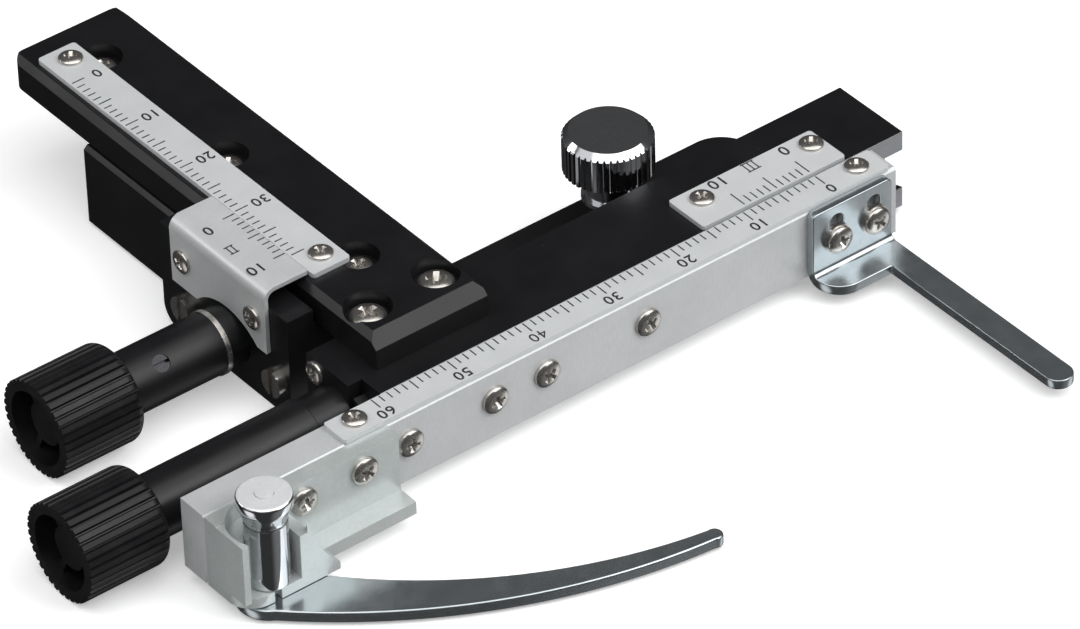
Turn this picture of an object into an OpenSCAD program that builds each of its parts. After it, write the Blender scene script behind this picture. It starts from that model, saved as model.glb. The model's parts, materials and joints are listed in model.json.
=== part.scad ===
// Attachable mechanical stage for a laboratory microscope, in millimetres.
// The origin is the clamp screw's axis on the seat plane. +X runs to the right along the
// specimen bar, +Y to the rear along the column bar and +Z up.

/* [Fits] */
// Radial clearance of a turning shaft in its bearing
running_fit = 0.05; // [0.02:0.01:0.1]
// Clearance between the faces of a dovetail slide
slide_fit = 0.06; // [0.03:0.01:0.12]
// Radial clearance of a fixed pin or screw in its hole
seat_fit = 0.03; // [0.01:0.01:0.08]
// Gap between faces that pass each other without touching
pass_gap = 0.2; // [0.1:0.05:0.4]

/* [Heights] */
// Height of the deck, where the scales and the column bar lie, above the seat
deck_h = 10.9; // [10.5:0.1:12]
// Height of both knob axes above the X guide's underside, as a share of its height
knob_h_share = 0.49505; // [0.485:0.005:0.51]
// Thickness of the scale plates
plate_t = 0.6; // [0.4:0.1:0.8]

/* [Mounting arm and clamp screw] */
// Width of the mounting arm
arm_w = 8.6; // [7.5:0.1:9]
// Thickness of the mounting arm
arm_t = 3; // [2.5:0.1:3.2]
// Distance from the clamp screw to the centre of the arm's round end
arm_reach = 15.6; // [12:0.1:20]
// Diameter of the clamp screw's head
thumb_d = 10.2; // [8:0.1:10.4]
// Height of the clamp screw's head
thumb_h = 4.8; // [4:0.1:6]
// Chamfer round the top of the clamp screw's head
thumb_chamfer = 0.75; // [0.4:0.05:1]
// Diameter of the clamp screw's neck
neck_d = 5.3; // [4.8:0.1:6]
// Length of the clamp screw's neck
neck_len = 3.5; // [3:0.1:5]
// Thread diameter of the clamp screw
stud_d = 4; // [3:0.5:4]
// Thickness of the thrust collar under the neck
collar_t = 0.5; // [0.4:0.1:0.8]
// Width by which the thrust collar stands out past the neck
collar_lip = 0.45; // [0.3:0.05:0.6]
// Travel of the clamp screw from the rest position until it clamps
clamp_travel = 2.75; // [2:0.05:3]

/* [Base block] */
// Distance from the clamp screw to the centre line of the column
column_x = 34.3; // [32:0.1:38]
// Width of the base block
block_w = 16; // [15:0.1:18]
// Length of the base block
block_len = 41.5; // [36:0.5:48]
// Distance from the X guide's rear face to the base block's front face
block_to_guide = 3.4; // [3:0.1:5]
// Edge chamfer of the base block
block_chamfer = 0.5; // [0.3:0.1:0.8]

/* [Bearing flange] */
// Thickness of the bearing flange
flange_t = 3.5; // [3:0.1:4]
// Height of the bearing flange above the deck
flange_rise = 2.3; // [1.9:0.1:2.5]
// Length of the flange behind the knob axis
flange_rear = 12.7; // [11:0.1:14]
// Length of the flange in front of the knob axis
flange_front = 10.3; // [9.8:0.1:10.5]
// Distance between the two flange screws
flange_screw_span = 16.4; // [14:0.1:17]
// Drop of the flange screws below the knob axis
flange_screw_drop = 1.5; // [1:0.1:1.8]
// Diameter of the flange's boss round the pinion shaft
boss_d = 7; // [6:0.1:7]
// Length of the flange's boss
boss_len = 2.4; // [2:0.1:3]

/* [Rear vernier bracket] */
// Thickness of the bracket's sheet metal
sheet_t = 0.6; // [0.4:0.1:0.7]
// Length of the bracket along the column
bracket_len = 17; // [15:0.5:19]
// Distance from the knob axis to the bracket's centre
bracket_shift = 1.4; // [0:0.1:2]
// Drop of the bracket's lower edge below the deck
bracket_drop = 3.6; // [2.6:0.1:3.9]
// Outer radius of the bracket's bend
bracket_bend_r = 1.5; // [1:0.1:2]
// Radius of the arch that clears the boss
arch_r = 7.7; // [7.4:0.1:9]
// Distance between the bracket's two screws
bracket_screw_span = 12.6; // [11:0.1:13]
// Height of the bracket's screws above the deck
bracket_screw_rise = 0.1; // [-0.1:0.1:0.5]

/* [Column bar] */
// Width of the column bar
bar_w = 14.8; // [14:0.1:15.5]
// Length of the column bar
bar_len = 66.1; // [62:0.1:72]
// Thickness of the column bar
bar_t = 4; // [3.6:0.1:4.6]
// Distance from the X guide's front face to the column bar's front end
bar_setback = 3.4; // [2:0.1:4]
// Chamfer along the column bar's long edges
bar_chamfer = 0.8; // [0.4:0.1:1.2]
// Chamfer at the column bar's front end
bar_nose_chamfer = 1.5; // [1:0.1:2]
// Radius of the column bar's rear corners
bar_corner_r = 1.5; // [1:0.1:3]

/* [Rail, rack and pinion] */
// Width of the rail at the column bar
rail_neck_w = 6.6; // [6:0.1:7]
// Width of the rail at its underside
rail_foot_w = 9; // [8.4:0.1:9.6]
// Length of the rail and rack
rail_len = 56.8; // [52:0.2:58]
// Gap between the X guide and the rail
rail_to_guide = 0.5; // [0.3:0.1:1]
// Distance from each end of the rail to its outer screw
rail_screw_inset = 5.1; // [4.6:0.1:6]
// Gear module of the rack and pinion
gear_module = 0.5; // [0.5:0.05:0.5]
// Number of pinion teeth
pinion_teeth = 10; // [10:1:10]
// Width of the rack
rack_w = 3; // [2.8:0.1:3.2]
// Width of the pinion
pinion_w = 2.6; // [2.2:0.1:2.8]
// Thickness of the rack behind its teeth
rack_back = 0.75; // [0.6:0.05:0.9]

/* [Column scale] */
// Length of the column scale
y_scale_len = 50.4; // [48:0.1:52]
// Width of the column scale
y_scale_w = 4.95; // [4.6:0.05:5.2]
// Distance from the X guide's rear face to the column scale's front end
y_scale_start = 5.3; // [4.5:0.1:6]
// Distance from each end of the column scale to its screw
y_scale_screw_inset = 2.4; // [2:0.1:3]

/* [X guide] */
// Length of the X guide
guide_len = 71.2; // [70.5:0.1:74]
// Width of the X guide
guide_w = 10.6; // [10.4:0.1:11]
// Gap below the X guide, above the seat
guide_lift = 0.8; // [0.5:0.1:1]
// Distance from the column's centre line to the X guide's left end
guide_overhang = 9.5; // [9:0.1:10]
// Distance from the clamp screw to the X guide's rear face
guide_to_screw = 6.3; // [6.2:0.1:7]
// Half height of the guide groove at its mouth, as a share of the guide's height
groove_mouth_share = 0.2475; // [0.24:0.005:0.255]
// Half height of the guide groove at its floor, as a share of the guide's height
groove_floor_share = 0.3366; // [0.32:0.005:0.35]
// Depth of the guide groove
groove_depth = 3; // [2.8:0.1:3.2]
// Diameter of the lead screw channel
channel_d = 5.8; // [5.6:0.1:6]
// Distance from the guide's front face to the lead screw axis
channel_back = 5.5; // [5.4:0.1:5.8]
// Distance between the two large guide screws
guide_screw_span = 9; // [8:0.1:9.1]
// Distance from the guide's rear face to the large guide screws
guide_screw_inset = 2.05; // [1.9:0.05:2.3]
// Length of the front vernier plate
x_vernier_len = 19.8; // [19:0.1:21]
// Width of the front vernier plate
x_vernier_w = 6.1; // [5.6:0.1:6.4]
// Distance from the clamp screw to the front vernier plate's right end
x_vernier_right = 19.35; // [18:0.05:20]
// Distance from the left end of the front vernier plate to its screw
x_vernier_inset_left = 3; // [2:0.1:3.5]
// Distance from the right end of the front vernier plate to its screw
x_vernier_inset_right = 1.6; // [1.5:0.1:3]

/* [Lead screw] */
// Thread diameter of the lead screw
lead_d = 3.4; // [3.2:0.1:3.6]
// Diameter of the knob shafts and journals
shaft_d = 3; // [2.8:0.1:3]
// Diameter of the lead screw's right journal
tail_d = 2.2; // [2:0.1:2.4]
// Thickness of the guide's end plate
end_plate_t = 1.8; // [1.5:0.1:2]
// Length of the bearing bush's collar
bush_len = 4.2; // [3.8:0.1:4.4]
// Thickness of the bush at the guide's right end
tail_bush_t = 1.8; // [1.5:0.1:2]
// Length of the lead nut
nut_len = 8.5; // [8:0.1:9]

/* [Knobs] */
// Diameter of the knob tubes
tube_d = 7.2; // [6.8:0.1:7.4]
// Diameter of the knob heads over their ribs
head_d = 11.4; // [11:0.1:11.4]
// Length of the knob heads
head_len = 10.5; // [9.5:0.1:11]
// Number of ribs round a knob head
knob_ribs = 36; // [30:1:40]
// Depth of the grooves between the ribs
rib_depth = 0.35; // [0.2:0.05:0.5]
// Radius of the knob head's shoulder
shoulder_r = 1.2; // [0.8:0.1:1.6]
// Depth of the hollow in the knob head's end
hollow_depth = 5; // [4:0.1:5.4]
// Thickness of the knob head's rim
rim_t = 1; // [0.8:0.1:1.2]
// Thickness of the three spokes inside the knob head
spoke_t = 0.8; // [0.6:0.1:1]
// Depth at which the spokes lie below the rim
spoke_drop = 1.2; // [0.8:0.1:2]
// Depth of the tube's seat in the knob head
tube_seat = 4; // [3:0.1:4.2]
// Distance from the column's centre line to the rear knob's end face
rear_knob_reach = 37.1; // [36:0.1:40]
// Distance from the column's centre line to the front knob's end face
front_knob_reach = 47; // [46.5:0.1:50]
// Thickness of the rear shaft washer
washer_t = 0.6; // [0.5:0.1:0.7]
// Diameter of the slotted grub screw
grub_d = 2; // [1.6:0.1:2.2]
// Distance from the rear knob's head to its grub screw
grub_inset = 4.3; // [3.5:0.1:6]

/* [Specimen bar] */
// Length of the specimen bar
specimen_len = 92.5; // [90:0.5:96]
// Thickness of the specimen bar
specimen_t = 4.1; // [3.9:0.1:4.2]
// Height of the specimen bar's underside above the seat
specimen_lift = 1.9; // [1.8:0.05:2.1]
// Distance from the clamp screw to the specimen bar's right end
specimen_right = 22.6; // [22.2:0.1:23.2]
// Gap between the specimen bar and the X guide
bar_gap = 0.4; // [0.3:0.05:0.5]
// Length of the dovetail tongue
tongue_len = 35; // [33.5:0.5:35]
// Distance between the outer screws of the tongue
tongue_screw_span = 31.7; // [30:0.1:32]
// Distance between the screws of the lead nut
nut_screw_span = 6.9; // [6:0.1:7]
// Length of the X scale
x_scale_len = 73.6; // [72:0.1:75]
// Width of the X scale
x_scale_w = 3.8; // [3.6:0.1:4]
// Distance from the specimen bar's right end to the X scale
x_scale_inset = 0.8; // [0.5:0.1:1.5]
// Distance from each end of the X scale to its screw
x_scale_screw_inset = 2.9; // [2.5:0.1:4]

/* [Fixed finger] */
// Thickness of the fixed finger's sheet metal
finger_t = 1.2; // [1:0.1:1.4]
// Width of the finger's bracket plate
finger_plate_w = 11.1; // [10.8:0.1:12]
// Distance from the specimen bar's right end to the bracket plate
finger_inset = 1.5; // [1:0.1:3]
// Height of the bracket plate's top edge above the deck
finger_rise = 0.1; // [0.1:0.1:0.6]
// Radius of the bracket plate's top corners
finger_corner_r = 0.8; // [0.4:0.1:1.2]
// Gap between the fixed finger and the seat plane
finger_lift = 1.7; // [1.5:0.05:1.9]
// Width of the finger
finger_w = 3.3; // [3:0.1:3.6]
// Length of the finger from the bar's front face
finger_len = 32; // [28:0.5:36]
// Depth of the finger's foot
foot_depth = 5; // [4.4:0.1:5.2]
// Inner radius of the finger's bend
finger_bend_r = 0.7; // [0.5:0.1:0.9]
// Distance between the finger's screws
finger_screw_span = 5.2; // [5:0.1:5.6]
// Distance from the plate's right edge to the nearer screw
finger_screw_inset = 2.6; // [2.5:0.1:2.9]
// Drop of the finger's screws below the deck
finger_screw_drop = 4.2; // [3.9:0.1:4.4]
// Length of the slots for the finger's screws
slot_len = 4.4; // [4:0.1:4.6]

/* [Clamp block] */
// Distance from the specimen bar's left end to the pivot
pivot_inset = 4.6; // [4.5:0.1:5]
// Distance from the specimen bar's front face to the pivot
pivot_front = 4.4; // [4.3:0.1:4.6]
// Depth of the clamp block's boss from the bar's front face
boss_depth = 6.6; // [6.4:0.1:7]
// Thickness of the boss's left wall
boss_wall = 0.8; // [0.6:0.1:1]
// Distance from the pivot to the boss's right face
boss_right = 3.4; // [3.3:0.1:3.6]
// Thickness of the block's floor below the barrel
block_floor = 1.3; // [1:0.1:1.5]
// Thickness of the block's wing
wing_t = 2; // [1.6:0.1:2.2]
// Length of the block from the specimen bar's left end
wing_len = 23.5; // [23:0.1:24]
// Thickness of the shelf below the wing
shelf_t = 1.6; // [1.4:0.1:1.8]
// Depth of the shelf from the bar's front face
shelf_depth = 4.6; // [4:0.1:5]
// Radius of the hollow flank between the boss and its foot
block_fillet_r = 14; // [12:0.5:18]
// Length of the foot from the boss's right face
foot_len = 4.1; // [3.6:0.1:4.6]
// Height of the foot's right end above the block's underside
foot_rise = 0.9; // [0.6:0.1:1.3]
// Radius of the recess round the pivot at the block's top
recess_r = 4.2; // [4:0.1:4.3]
// Depth of the recess round the pivot
recess_depth = 2.1; // [1.5:0.1:3]
// Drop of the clamp block's screws below the deck
clamp_screw_drop = 2.4; // [1.9:0.1:2.5]
// Distance between the clamp block's screws
clamp_screw_span = 7.8; // [7.4:0.1:8.4]
// Distance from the wing's right end to the nearer screw
clamp_screw_inset = 4.6; // [4.4:0.1:5.2]

/* [Clamp arm and pivot] */
// Diameter of the pivot barrel
barrel_d = 4.7; // [4.4:0.1:4.8]
// Height of the pivot barrel's top above the deck
barrel_rise = 3.6; // [3.6:0.05:5]
// Diameter of the barrel's cap
cap_d = 6.1; // [5.6:0.1:6.4]
// Thickness of the barrel's cap
cap_t = 1.1; // [0.8:0.1:1.4]
// Height of the taper below the cap
cap_taper = 1.9; // [1.5:0.1:2.4]
// Wall of the pivot barrel
barrel_wall = 0.5; // [0.4:0.05:0.6]
// Diameter of the pivot pin
pin_d = 2; // [1.8:0.1:2.2]
// Wire diameter of the torsion spring
wire_d = 0.4; // [0.35:0.05:0.45]
// Number of turns of the torsion spring
spring_turns = 8; // [6:1:10]
// Radius of the clamp arm's hub
hub_r = 3.7; // [3.4:0.1:4]
// Thickness of the clamp arm
lever_t = 1.4; // [1.2:0.1:1.5]
// Reach of the clamp arm from the pivot to the tip, along the bar
lever_reach_x = 40.7; // [36:0.1:44]
// Reach of the clamp arm from the pivot to the tip, to the front
lever_reach_y = 22.4; // [20:0.1:25]
// Radius of the clamp arm's tip
tip_r = 0.95; // [0.8:0.05:1.2]
// Radius of the clamp arm's inner edge
lever_inner_r = 59; // [52:1:70]
// Radius of the clamp arm's outer edge
lever_outer_r = 69; // [60:1:80]

/* [Screws] */
// Head diameter of the small plate screws
small_head_d = 2.8; // [2.4:0.1:3]
// Head height of the small plate screws
small_head_h = 0.8; // [0.6:0.1:1]
// Thread diameter of the small plate screws
small_d = 1.4; // [1.2:0.1:1.6]
// Head diameter of the medium screws
medium_head_d = 3.3; // [3:0.1:3.4]
// Head height of the medium screws
medium_head_h = 1.1; // [0.9:0.1:1.3]
// Thread diameter of the medium screws
medium_d = 1.8; // [1.6:0.1:2]
// Head diameter of the large guide screws
large_head_d = 4.2; // [3.8:0.1:4.6]
// Head height of the large guide screws
large_head_h = 1.6; // [1.3:0.1:2]
// Thread diameter of the large guide screws
large_d = 2.6; // [2.4:0.1:3]
// Diameter of the counterbores for the large guide screws
large_bore_d = 5.3; // [5:0.1:5.4]
// Depth of the counterbores for the large guide screws
large_bore_depth = 1.8; // [1.8:0.1:2.4]
// Diameter of the counterbores for the rail screws
rail_bore_d = 4.7; // [4.2:0.1:5]
// Depth of the counterbores for the rail screws
rail_bore_depth = 1.8; // [1.8:0.1:2.4]

/* [Hidden] */
$fn = 64;

// Overrun of a cut past the face it opens
cut = 0.5;
// Inset of the column scale from the column bar's left edge
y_scale_edge = 1.3;
// Height of the guide groove's centre above the knob axes
groove_rise = 0.1;
// Distance from the base block's left face to the mounting arm's left end
arm_end_inset = 1.5;
// Distance between the screws that hold the mounting arm
arm_screw_span = 8;
// Room left under the collar when the screw clamps
travel_spare = 0.05;
// Shift of the column scale's screws towards the middle of the bar
y_scale_screw_shift = 0.3;
// Metal left between a rail screw's tip and the rack's roots
rack_root_cover = 0.15;
// Shift of the front vernier plate's screws away from its graduated edge
x_vernier_screw_shift = 0.9;
// Distance from the lead screw's axis back to the end plate's screws
end_screw_back = 3.5;
// Height of the end plate's screws above and below the lead screw's axis, of the guide's height
end_screw_rise_share = 0.3366;
// Diameter of the bearing bush's collar, of the guide's height
bush_d_share = 0.6535;
// Half height of the lead nut's foot, of the guide's height
nut_foot_share = 0.2079;
// Height of the bar screws above the knob axes, of the guide's height
bar_screw_rise_share = 0.1337;
// Height of the rack's tooth tips above the rail's underside
rack_tip_cover = 0.12;
// Length by which the pivot pin stands proud of the barrel's cap
pin_proud = 0.1;
// Gap between the end plate and the tongue that passes in front of it
end_plate_room = 0.3;
// Distance from the specimen bar's right end to the lead nut's centre
nut_from_right = 51.55;
// Shift of the tongue's centre from the nut's centre
tongue_shift = 1.2;
// Gap between the X scale and the specimen bar's front face
x_scale_edge = 0.05;
// Shift of the X scale's screws towards its graduated edge
x_scale_screw_shift = 0.25;
// Gap between the tongue's rear face and the groove's floor
tongue_room = 0.1;
// Drop of the boss's top below the specimen bar's top
boss_top_drop = 0.1;
// Length of the thread to the left of the nut at rest
thread_left = 3;
// Clearance round the pinion's teeth in the base block
pinion_room = 0.35;
// Length of the shaft's far bearing in the base block
far_bearing = 3.2;
// Length by which a knob shaft stops short of the knob head's end face
shaft_inset = 2.2;
// Depth of the grub screw's end below the sleeve's surface
grub_sink = 0.15;
// Colours
black = [0.07, 0.07, 0.08];
knob_black = [0.1, 0.1, 0.11];
scale_silver = [0.78, 0.79, 0.8];
bright = [0.82, 0.82, 0.84];
nickel = [0.72, 0.7, 0.66];
cast_grey = [0.55, 0.6, 0.6];
steel = [0.6, 0.62, 0.65];
brass = [0.75, 0.62, 0.3];

// Places along the depth, Y
guide_back_y = -guide_to_screw;
guide_front_y = guide_back_y - guide_w;
block_front_y = guide_back_y + block_to_guide;
bar_front_y = guide_front_y + bar_setback;
rail_front_y = guide_back_y + rail_to_guide;
rail_mid_y = rail_front_y + rail_len / 2;
lead_y = guide_front_y + channel_back;
specimen_back_y = guide_front_y - bar_gap;
specimen_front_y = specimen_back_y - specimen_t;
pivot_y = specimen_front_y - pivot_front;
finger_face_y = specimen_front_y - finger_t;

// Distance from the clamp screw's axis to the rear knob's axis
rear_knob_back = 6.9;
rear_knob_y = rear_knob_back;

// Places along the length, X
column = -column_x;
block_left_x = column - block_w / 2;
flange_left_x = block_left_x - flange_t;
guide_left_x = column - guide_overhang;
guide_right_x = guide_left_x + guide_len;
end_plate_x = guide_left_x - end_plate_t;
bush_left_x = end_plate_x - bush_len;
specimen_left_x = specimen_right - specimen_len;
pivot_x = specimen_left_x + pivot_inset;
nut_x = specimen_right - nut_from_right;
tongue_x = nut_x + tongue_shift;
rear_knob_x = column - rear_knob_reach;
front_knob_x = column - front_knob_reach;
rear_head_x = rear_knob_x + head_len;
front_head_x = front_knob_x + head_len;
boss_left_x = flange_left_x - boss_len;
washer_left_x = boss_left_x - pass_gap - washer_t;
y_scale_left_x = column - bar_w / 2 + y_scale_edge;

// Heights, Z
guide_h = deck_h - guide_lift;
knob_h = guide_lift + guide_h * knob_h_share;
bar_top = deck_h + bar_t;
block_top = deck_h - pass_gap;
specimen_low = specimen_lift;
bracket_top = bar_top + pass_gap + sheet_t;
bracket_low = deck_h - bracket_drop;
bracket_screw_h = deck_h + bracket_screw_rise;
flange_h = deck_h + flange_rise;
groove_z = knob_h + groove_rise;
groove_mouth = guide_h * groove_mouth_share;
groove_floor = guide_h * groove_floor_share;
nut_foot = guide_h * nut_foot_share;
bush_d = guide_h * bush_d_share;
end_screw_rise = guide_h * end_screw_rise_share;
bar_screw_h = knob_h + guide_h * bar_screw_rise_share;
finger_top = deck_h + finger_rise;
finger_screw_h = deck_h - finger_screw_drop;
clamp_screw_h = deck_h - clamp_screw_drop;

// Gear geometry
pressure_angle = 20;
pitch_r = gear_module * pinion_teeth / 2;
base_r = pitch_r * cos(pressure_angle);
pinion_addendum_share = 0.9;
rack_addendum_share = 0.56;
rack_dedendum_share = 1.1;
pinion_tip_r = pitch_r + gear_module * pinion_addendum_share;
pinion_root_r = pitch_r - gear_module * pinion_addendum_share;
tooth_pitch = PI * gear_module;
// Side clearance of the gear teeth, on each of the two parts
tooth_thinning = 0.05;
rack_pitch_z = knob_h + pitch_r;
rack_tip_z = rack_pitch_z - gear_module * rack_addendum_share;
rack_root_z = rack_pitch_z + gear_module * rack_dedendum_share;
rack_top_z = rack_root_z + rack_back;
pinion_bore_r = pinion_tip_r + pinion_room;
rail_low = rack_tip_z - rack_tip_cover;
rail_h = deck_h - rail_low;
rail_screw_pitch = rail_len / 2 - rail_screw_inset;

// A domed head with a cross recess and its shank; the head stands on z = 0
module pan_screw(head_d, head_h, shank_d, shank_len) {
    dome_r = head_d * dome_share;
    difference() {
        intersection() {
            cylinder(d = head_d, h = head_h);
            translate([0, 0, head_h - dome_r]) sphere(r = dome_r);
        }
        for (turn = [0, 90])
            rotate([0, 0, turn])
                translate([-head_d * recess_len_share / 2, -head_d * recess_w_share / 2, head_h * recess_floor_share])
                    cube([head_d * recess_len_share, head_d * recess_w_share, head_h]);
    }
    translate([0, 0, -shank_len]) cylinder(d = shank_d, h = shank_len);
}
dome_share = 0.8;
recess_len_share = 0.6;
recess_w_share = 0.17;
recess_floor_share = 0.4;

// A cheese head with a straight slot
module slotted_screw(head_d, head_h, shank_d, shank_len) {
    difference() {
        cylinder(d = head_d, h = head_h);
        translate([-head_d, -head_d * slot_w_share / 2, head_h / 2]) cube([2 * head_d, head_d * slot_w_share, head_h]);
    }
    translate([0, 0, -shank_len]) cylinder(d = shank_d, h = shank_len);
}
slot_w_share = 0.18;

module facing_left() rotate([0, -90, 0]) children();
module facing_front() rotate([90, 0, 0]) children();

// Depth of the tapped part of the screw holes
small_grip = 2;
medium_grip = 3.2;

// A hole for a screw that stands on z = 0 and goes down
module screw_hole(d, depth) {
    translate([0, 0, -depth - seat_fit]) cylinder(d = d + 2 * seat_fit, h = depth + seat_fit + cut);
}

// A box between two opposite corners
module span(low, high) translate(low) cube([high[0] - low[0], high[1] - low[1], high[2] - low[2]]);

// Base block with the dovetail groove, the pinion's room and the arm's seat
module rail_section(grow, drop) {
    polygon([
        [-rail_neck_w / 2 - grow, 0], [rail_neck_w / 2 + grow, 0],
        [rail_foot_w / 2 + grow, -rail_h - drop], [-rail_foot_w / 2 - grow, -rail_h - drop]]);
}

module along_y(front_y, length) translate([0, front_y, 0]) rotate([90, 0, 0]) mirror([0, 0, 1])
    linear_extrude(height = length) children();

flange_screw_z = knob_h - flange_screw_drop;
flange_screw_ys = [for (side = [-1, 1]) rear_knob_y + side * flange_screw_span / 2];
bracket_mid_y = rear_knob_y + bracket_shift;
bracket_screw_ys = [for (side = [-1, 1]) bracket_mid_y + side * bracket_screw_span / 2];
arm_left_x = block_left_x + arm_end_inset;
arm_screw_xs = [for (side = [-1, 1]) column + side * arm_screw_span / 2];
// Length of the screws that hold the mounting arm
arm_screw_len = 6.2;
flange_grip = 2.7;

module base_block() {
    color(black) difference() {
        along_y(block_front_y, block_len)
            translate([column, 0]) polygon([
                [-block_w / 2, block_chamfer], [-block_w / 2 + block_chamfer, 0],
                [block_w / 2 - block_chamfer, 0], [block_w / 2, block_chamfer],
                [block_w / 2, block_top - block_chamfer], [block_w / 2 - block_chamfer, block_top],
                [-block_w / 2 + block_chamfer, block_top], [-block_w / 2, block_top - block_chamfer]]);
        along_y(block_front_y - cut, block_len + 2 * cut)
            translate([column, deck_h]) rail_section(slide_fit, slide_fit);
        span([arm_left_x - seat_fit, block_front_y - cut, -cut], [-block_left_x, arm_w / 2 + seat_fit, arm_t]);
        translate([block_left_x - cut, rear_knob_y, knob_h]) rotate([0, 90, 0])
            cylinder(r = pinion_bore_r, h = block_w / 2 + cut + pinion_w / 2 + pinion_room);
        translate([column, rear_knob_y, knob_h]) rotate([0, 90, 0])
            cylinder(d = shaft_d + 2 * running_fit, h = pinion_w / 2 + pinion_room + far_bearing);
        for (y = flange_screw_ys)
            translate([block_left_x, y, flange_screw_z]) facing_left() screw_hole(medium_d, flange_grip);
        for (x = arm_screw_xs)
            cylinder_at(x, 0, arm_t - cut, medium_d + 2 * seat_fit, arm_screw_len - arm_t + cut + seat_fit);
    }
}

module cylinder_at(x, y, z, d, h) translate([x, y, z]) cylinder(d = d, h = h);

// Mounting arm: a strap with a round end, fixed under the base block
csk_d = 3.4;
csk_h = 0.8;

module mounting_arm() {
    color(black) difference() {
        union() {
            span([arm_left_x, -arm_w / 2, 0], [arm_reach, arm_w / 2, arm_t]);
            cylinder_at(arm_reach, 0, 0, arm_w, arm_t);
        }
        cylinder_at(0, 0, -cut, stud_d + 2 * running_fit, arm_t + 2 * cut);
        for (x = arm_screw_xs) {
            cylinder_at(x, 0, -cut, medium_d + 2 * seat_fit, arm_t + 2 * cut);
            translate([x, 0, 0]) cylinder(d1 = csk_d + 2 * seat_fit, d2 = medium_d + 2 * seat_fit, h = csk_h);
        }
    }
}

module arm_screws() {
    color(nickel) for (x = arm_screw_xs)
        difference() {
            union() {
                translate([x, 0, 0]) cylinder(d1 = csk_d, d2 = medium_d, h = csk_h);
                cylinder_at(x, 0, 0, medium_d, arm_screw_len);
            }
            translate([x - csk_d, -csk_d * slot_w_share / 2, -cut])
                cube([2 * csk_d, csk_d * slot_w_share, cut + csk_h / 2]);
        }
}

// Bearing flange of the rear knob's shaft
spigot_len = 1.7;
flange_corner_r = 2.5;

module bearing_flange() {
    low = rear_knob_y - flange_front;
    high = rear_knob_y + flange_rear;
    color(black) difference() {
        union() {
            span([flange_left_x, low, 0], [block_left_x, high - flange_corner_r, flange_h]);
            span([flange_left_x, low, flange_corner_r], [block_left_x, high, flange_h]);
            translate([flange_left_x, high - flange_corner_r, flange_corner_r]) rotate([0, 90, 0])
                cylinder(r = flange_corner_r, h = flange_t);
            translate([boss_left_x, rear_knob_y, knob_h]) rotate([0, 90, 0]) cylinder(d = boss_d, h = boss_len + cut);
            translate([block_left_x - cut, rear_knob_y, knob_h]) rotate([0, 90, 0])
                cylinder(r = pinion_bore_r - seat_fit, h = spigot_len + cut);
        }
        translate([boss_left_x - cut, rear_knob_y, knob_h]) rotate([0, 90, 0])
            cylinder(d = shaft_d + 2 * running_fit, h = boss_len + flange_t + spigot_len + 2 * cut);
        for (y = flange_screw_ys)
            translate([flange_left_x, y, flange_screw_z]) facing_left() screw_hole(medium_d, flange_t + cut);
        for (y = bracket_screw_ys)
            translate([flange_left_x, y, bracket_screw_h]) facing_left() screw_hole(small_d, small_grip);
    }
}

module flange_screws() {
    color(nickel) for (y = flange_screw_ys)
        translate([flange_left_x, y, flange_screw_z]) facing_left()
            slotted_screw(medium_head_d, medium_head_h, medium_d, flange_t + flange_grip);
}

// Vernier bracket: a leg on the flange, a bend and a plate beside the column scale
// Gap between the bracket's plate and the column scale
vernier_gap = 0.15;
module y_vernier_bracket() {
    low = bracket_mid_y - bracket_len / 2;
    high = bracket_mid_y + bracket_len / 2;
    leg_x = flange_left_x - sheet_t;
    bend_x = leg_x + bracket_bend_r;
    bend_z = bracket_top - bracket_bend_r;
    color(scale_silver) difference() {
        union() {
            span([leg_x, low, bracket_low], [leg_x + sheet_t, high, bend_z]);
            span([bend_x, low, bracket_top - sheet_t], [y_scale_left_x - vernier_gap, high, bracket_top]);
            intersection() {
                translate([bend_x, low, bend_z]) rotate([-90, 0, 0]) difference() {
                    cylinder(r = bracket_bend_r, h = bracket_len);
                    translate([0, 0, -cut]) cylinder(r = bracket_bend_r - sheet_t, h = bracket_len + 2 * cut);
                }
                span([leg_x, low, bend_z], [bend_x, high, bracket_top]);
            }
        }
        translate([leg_x - cut, rear_knob_y, knob_h + boss_d / 2 + pass_gap - arch_r]) rotate([0, 90, 0])
            cylinder(r = arch_r, h = sheet_t + 2 * cut);
        for (y = bracket_screw_ys)
            translate([leg_x, y, bracket_screw_h]) facing_left() screw_hole(small_d, sheet_t + cut);
    }
}

module y_vernier_screws() {
    color(nickel) for (y = bracket_screw_ys)
        translate([flange_left_x - sheet_t, y, bracket_screw_h]) facing_left()
            pan_screw(small_head_d, small_head_h, small_d, sheet_t + small_grip);
}

// Clamp screw, raised at rest so that its stud ends at the seat plane
neck_low = arm_t + clamp_travel + collar_t + travel_spare;
thumb_low = neck_low + neck_len;
thumb_flutes = 44;
flute_depth = 0.2;
// Distance from the seat plane to the stud's tip at rest
stud_recess = 0.05;
stud_chamfer = 0.4;

function ribbed_outline(r, depth, ribs, land_share) = [
    for (i = [0 : ribs - 1])
        for (corner = [[0, 0], [land_share, 0], [land_share + groove_share(land_share), 1], [1 - groove_share(land_share), 1]])
            let (angle = (i + corner[0]) * 360 / ribs, radius = r - depth * corner[1])
                [radius * cos(angle), radius * sin(angle)]];
function groove_share(land_share) = (1 - land_share) / 3;
flute_land_share = 0.5;

module clamp_collar() {
    color(steel) translate([0, 0, neck_low - collar_t]) difference() {
        cylinder(d = neck_d + 2 * collar_lip, h = collar_t);
        translate([0, 0, -cut]) cylinder(d = stud_d + 2 * running_fit, h = collar_t + 2 * cut);
    }
}

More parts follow.
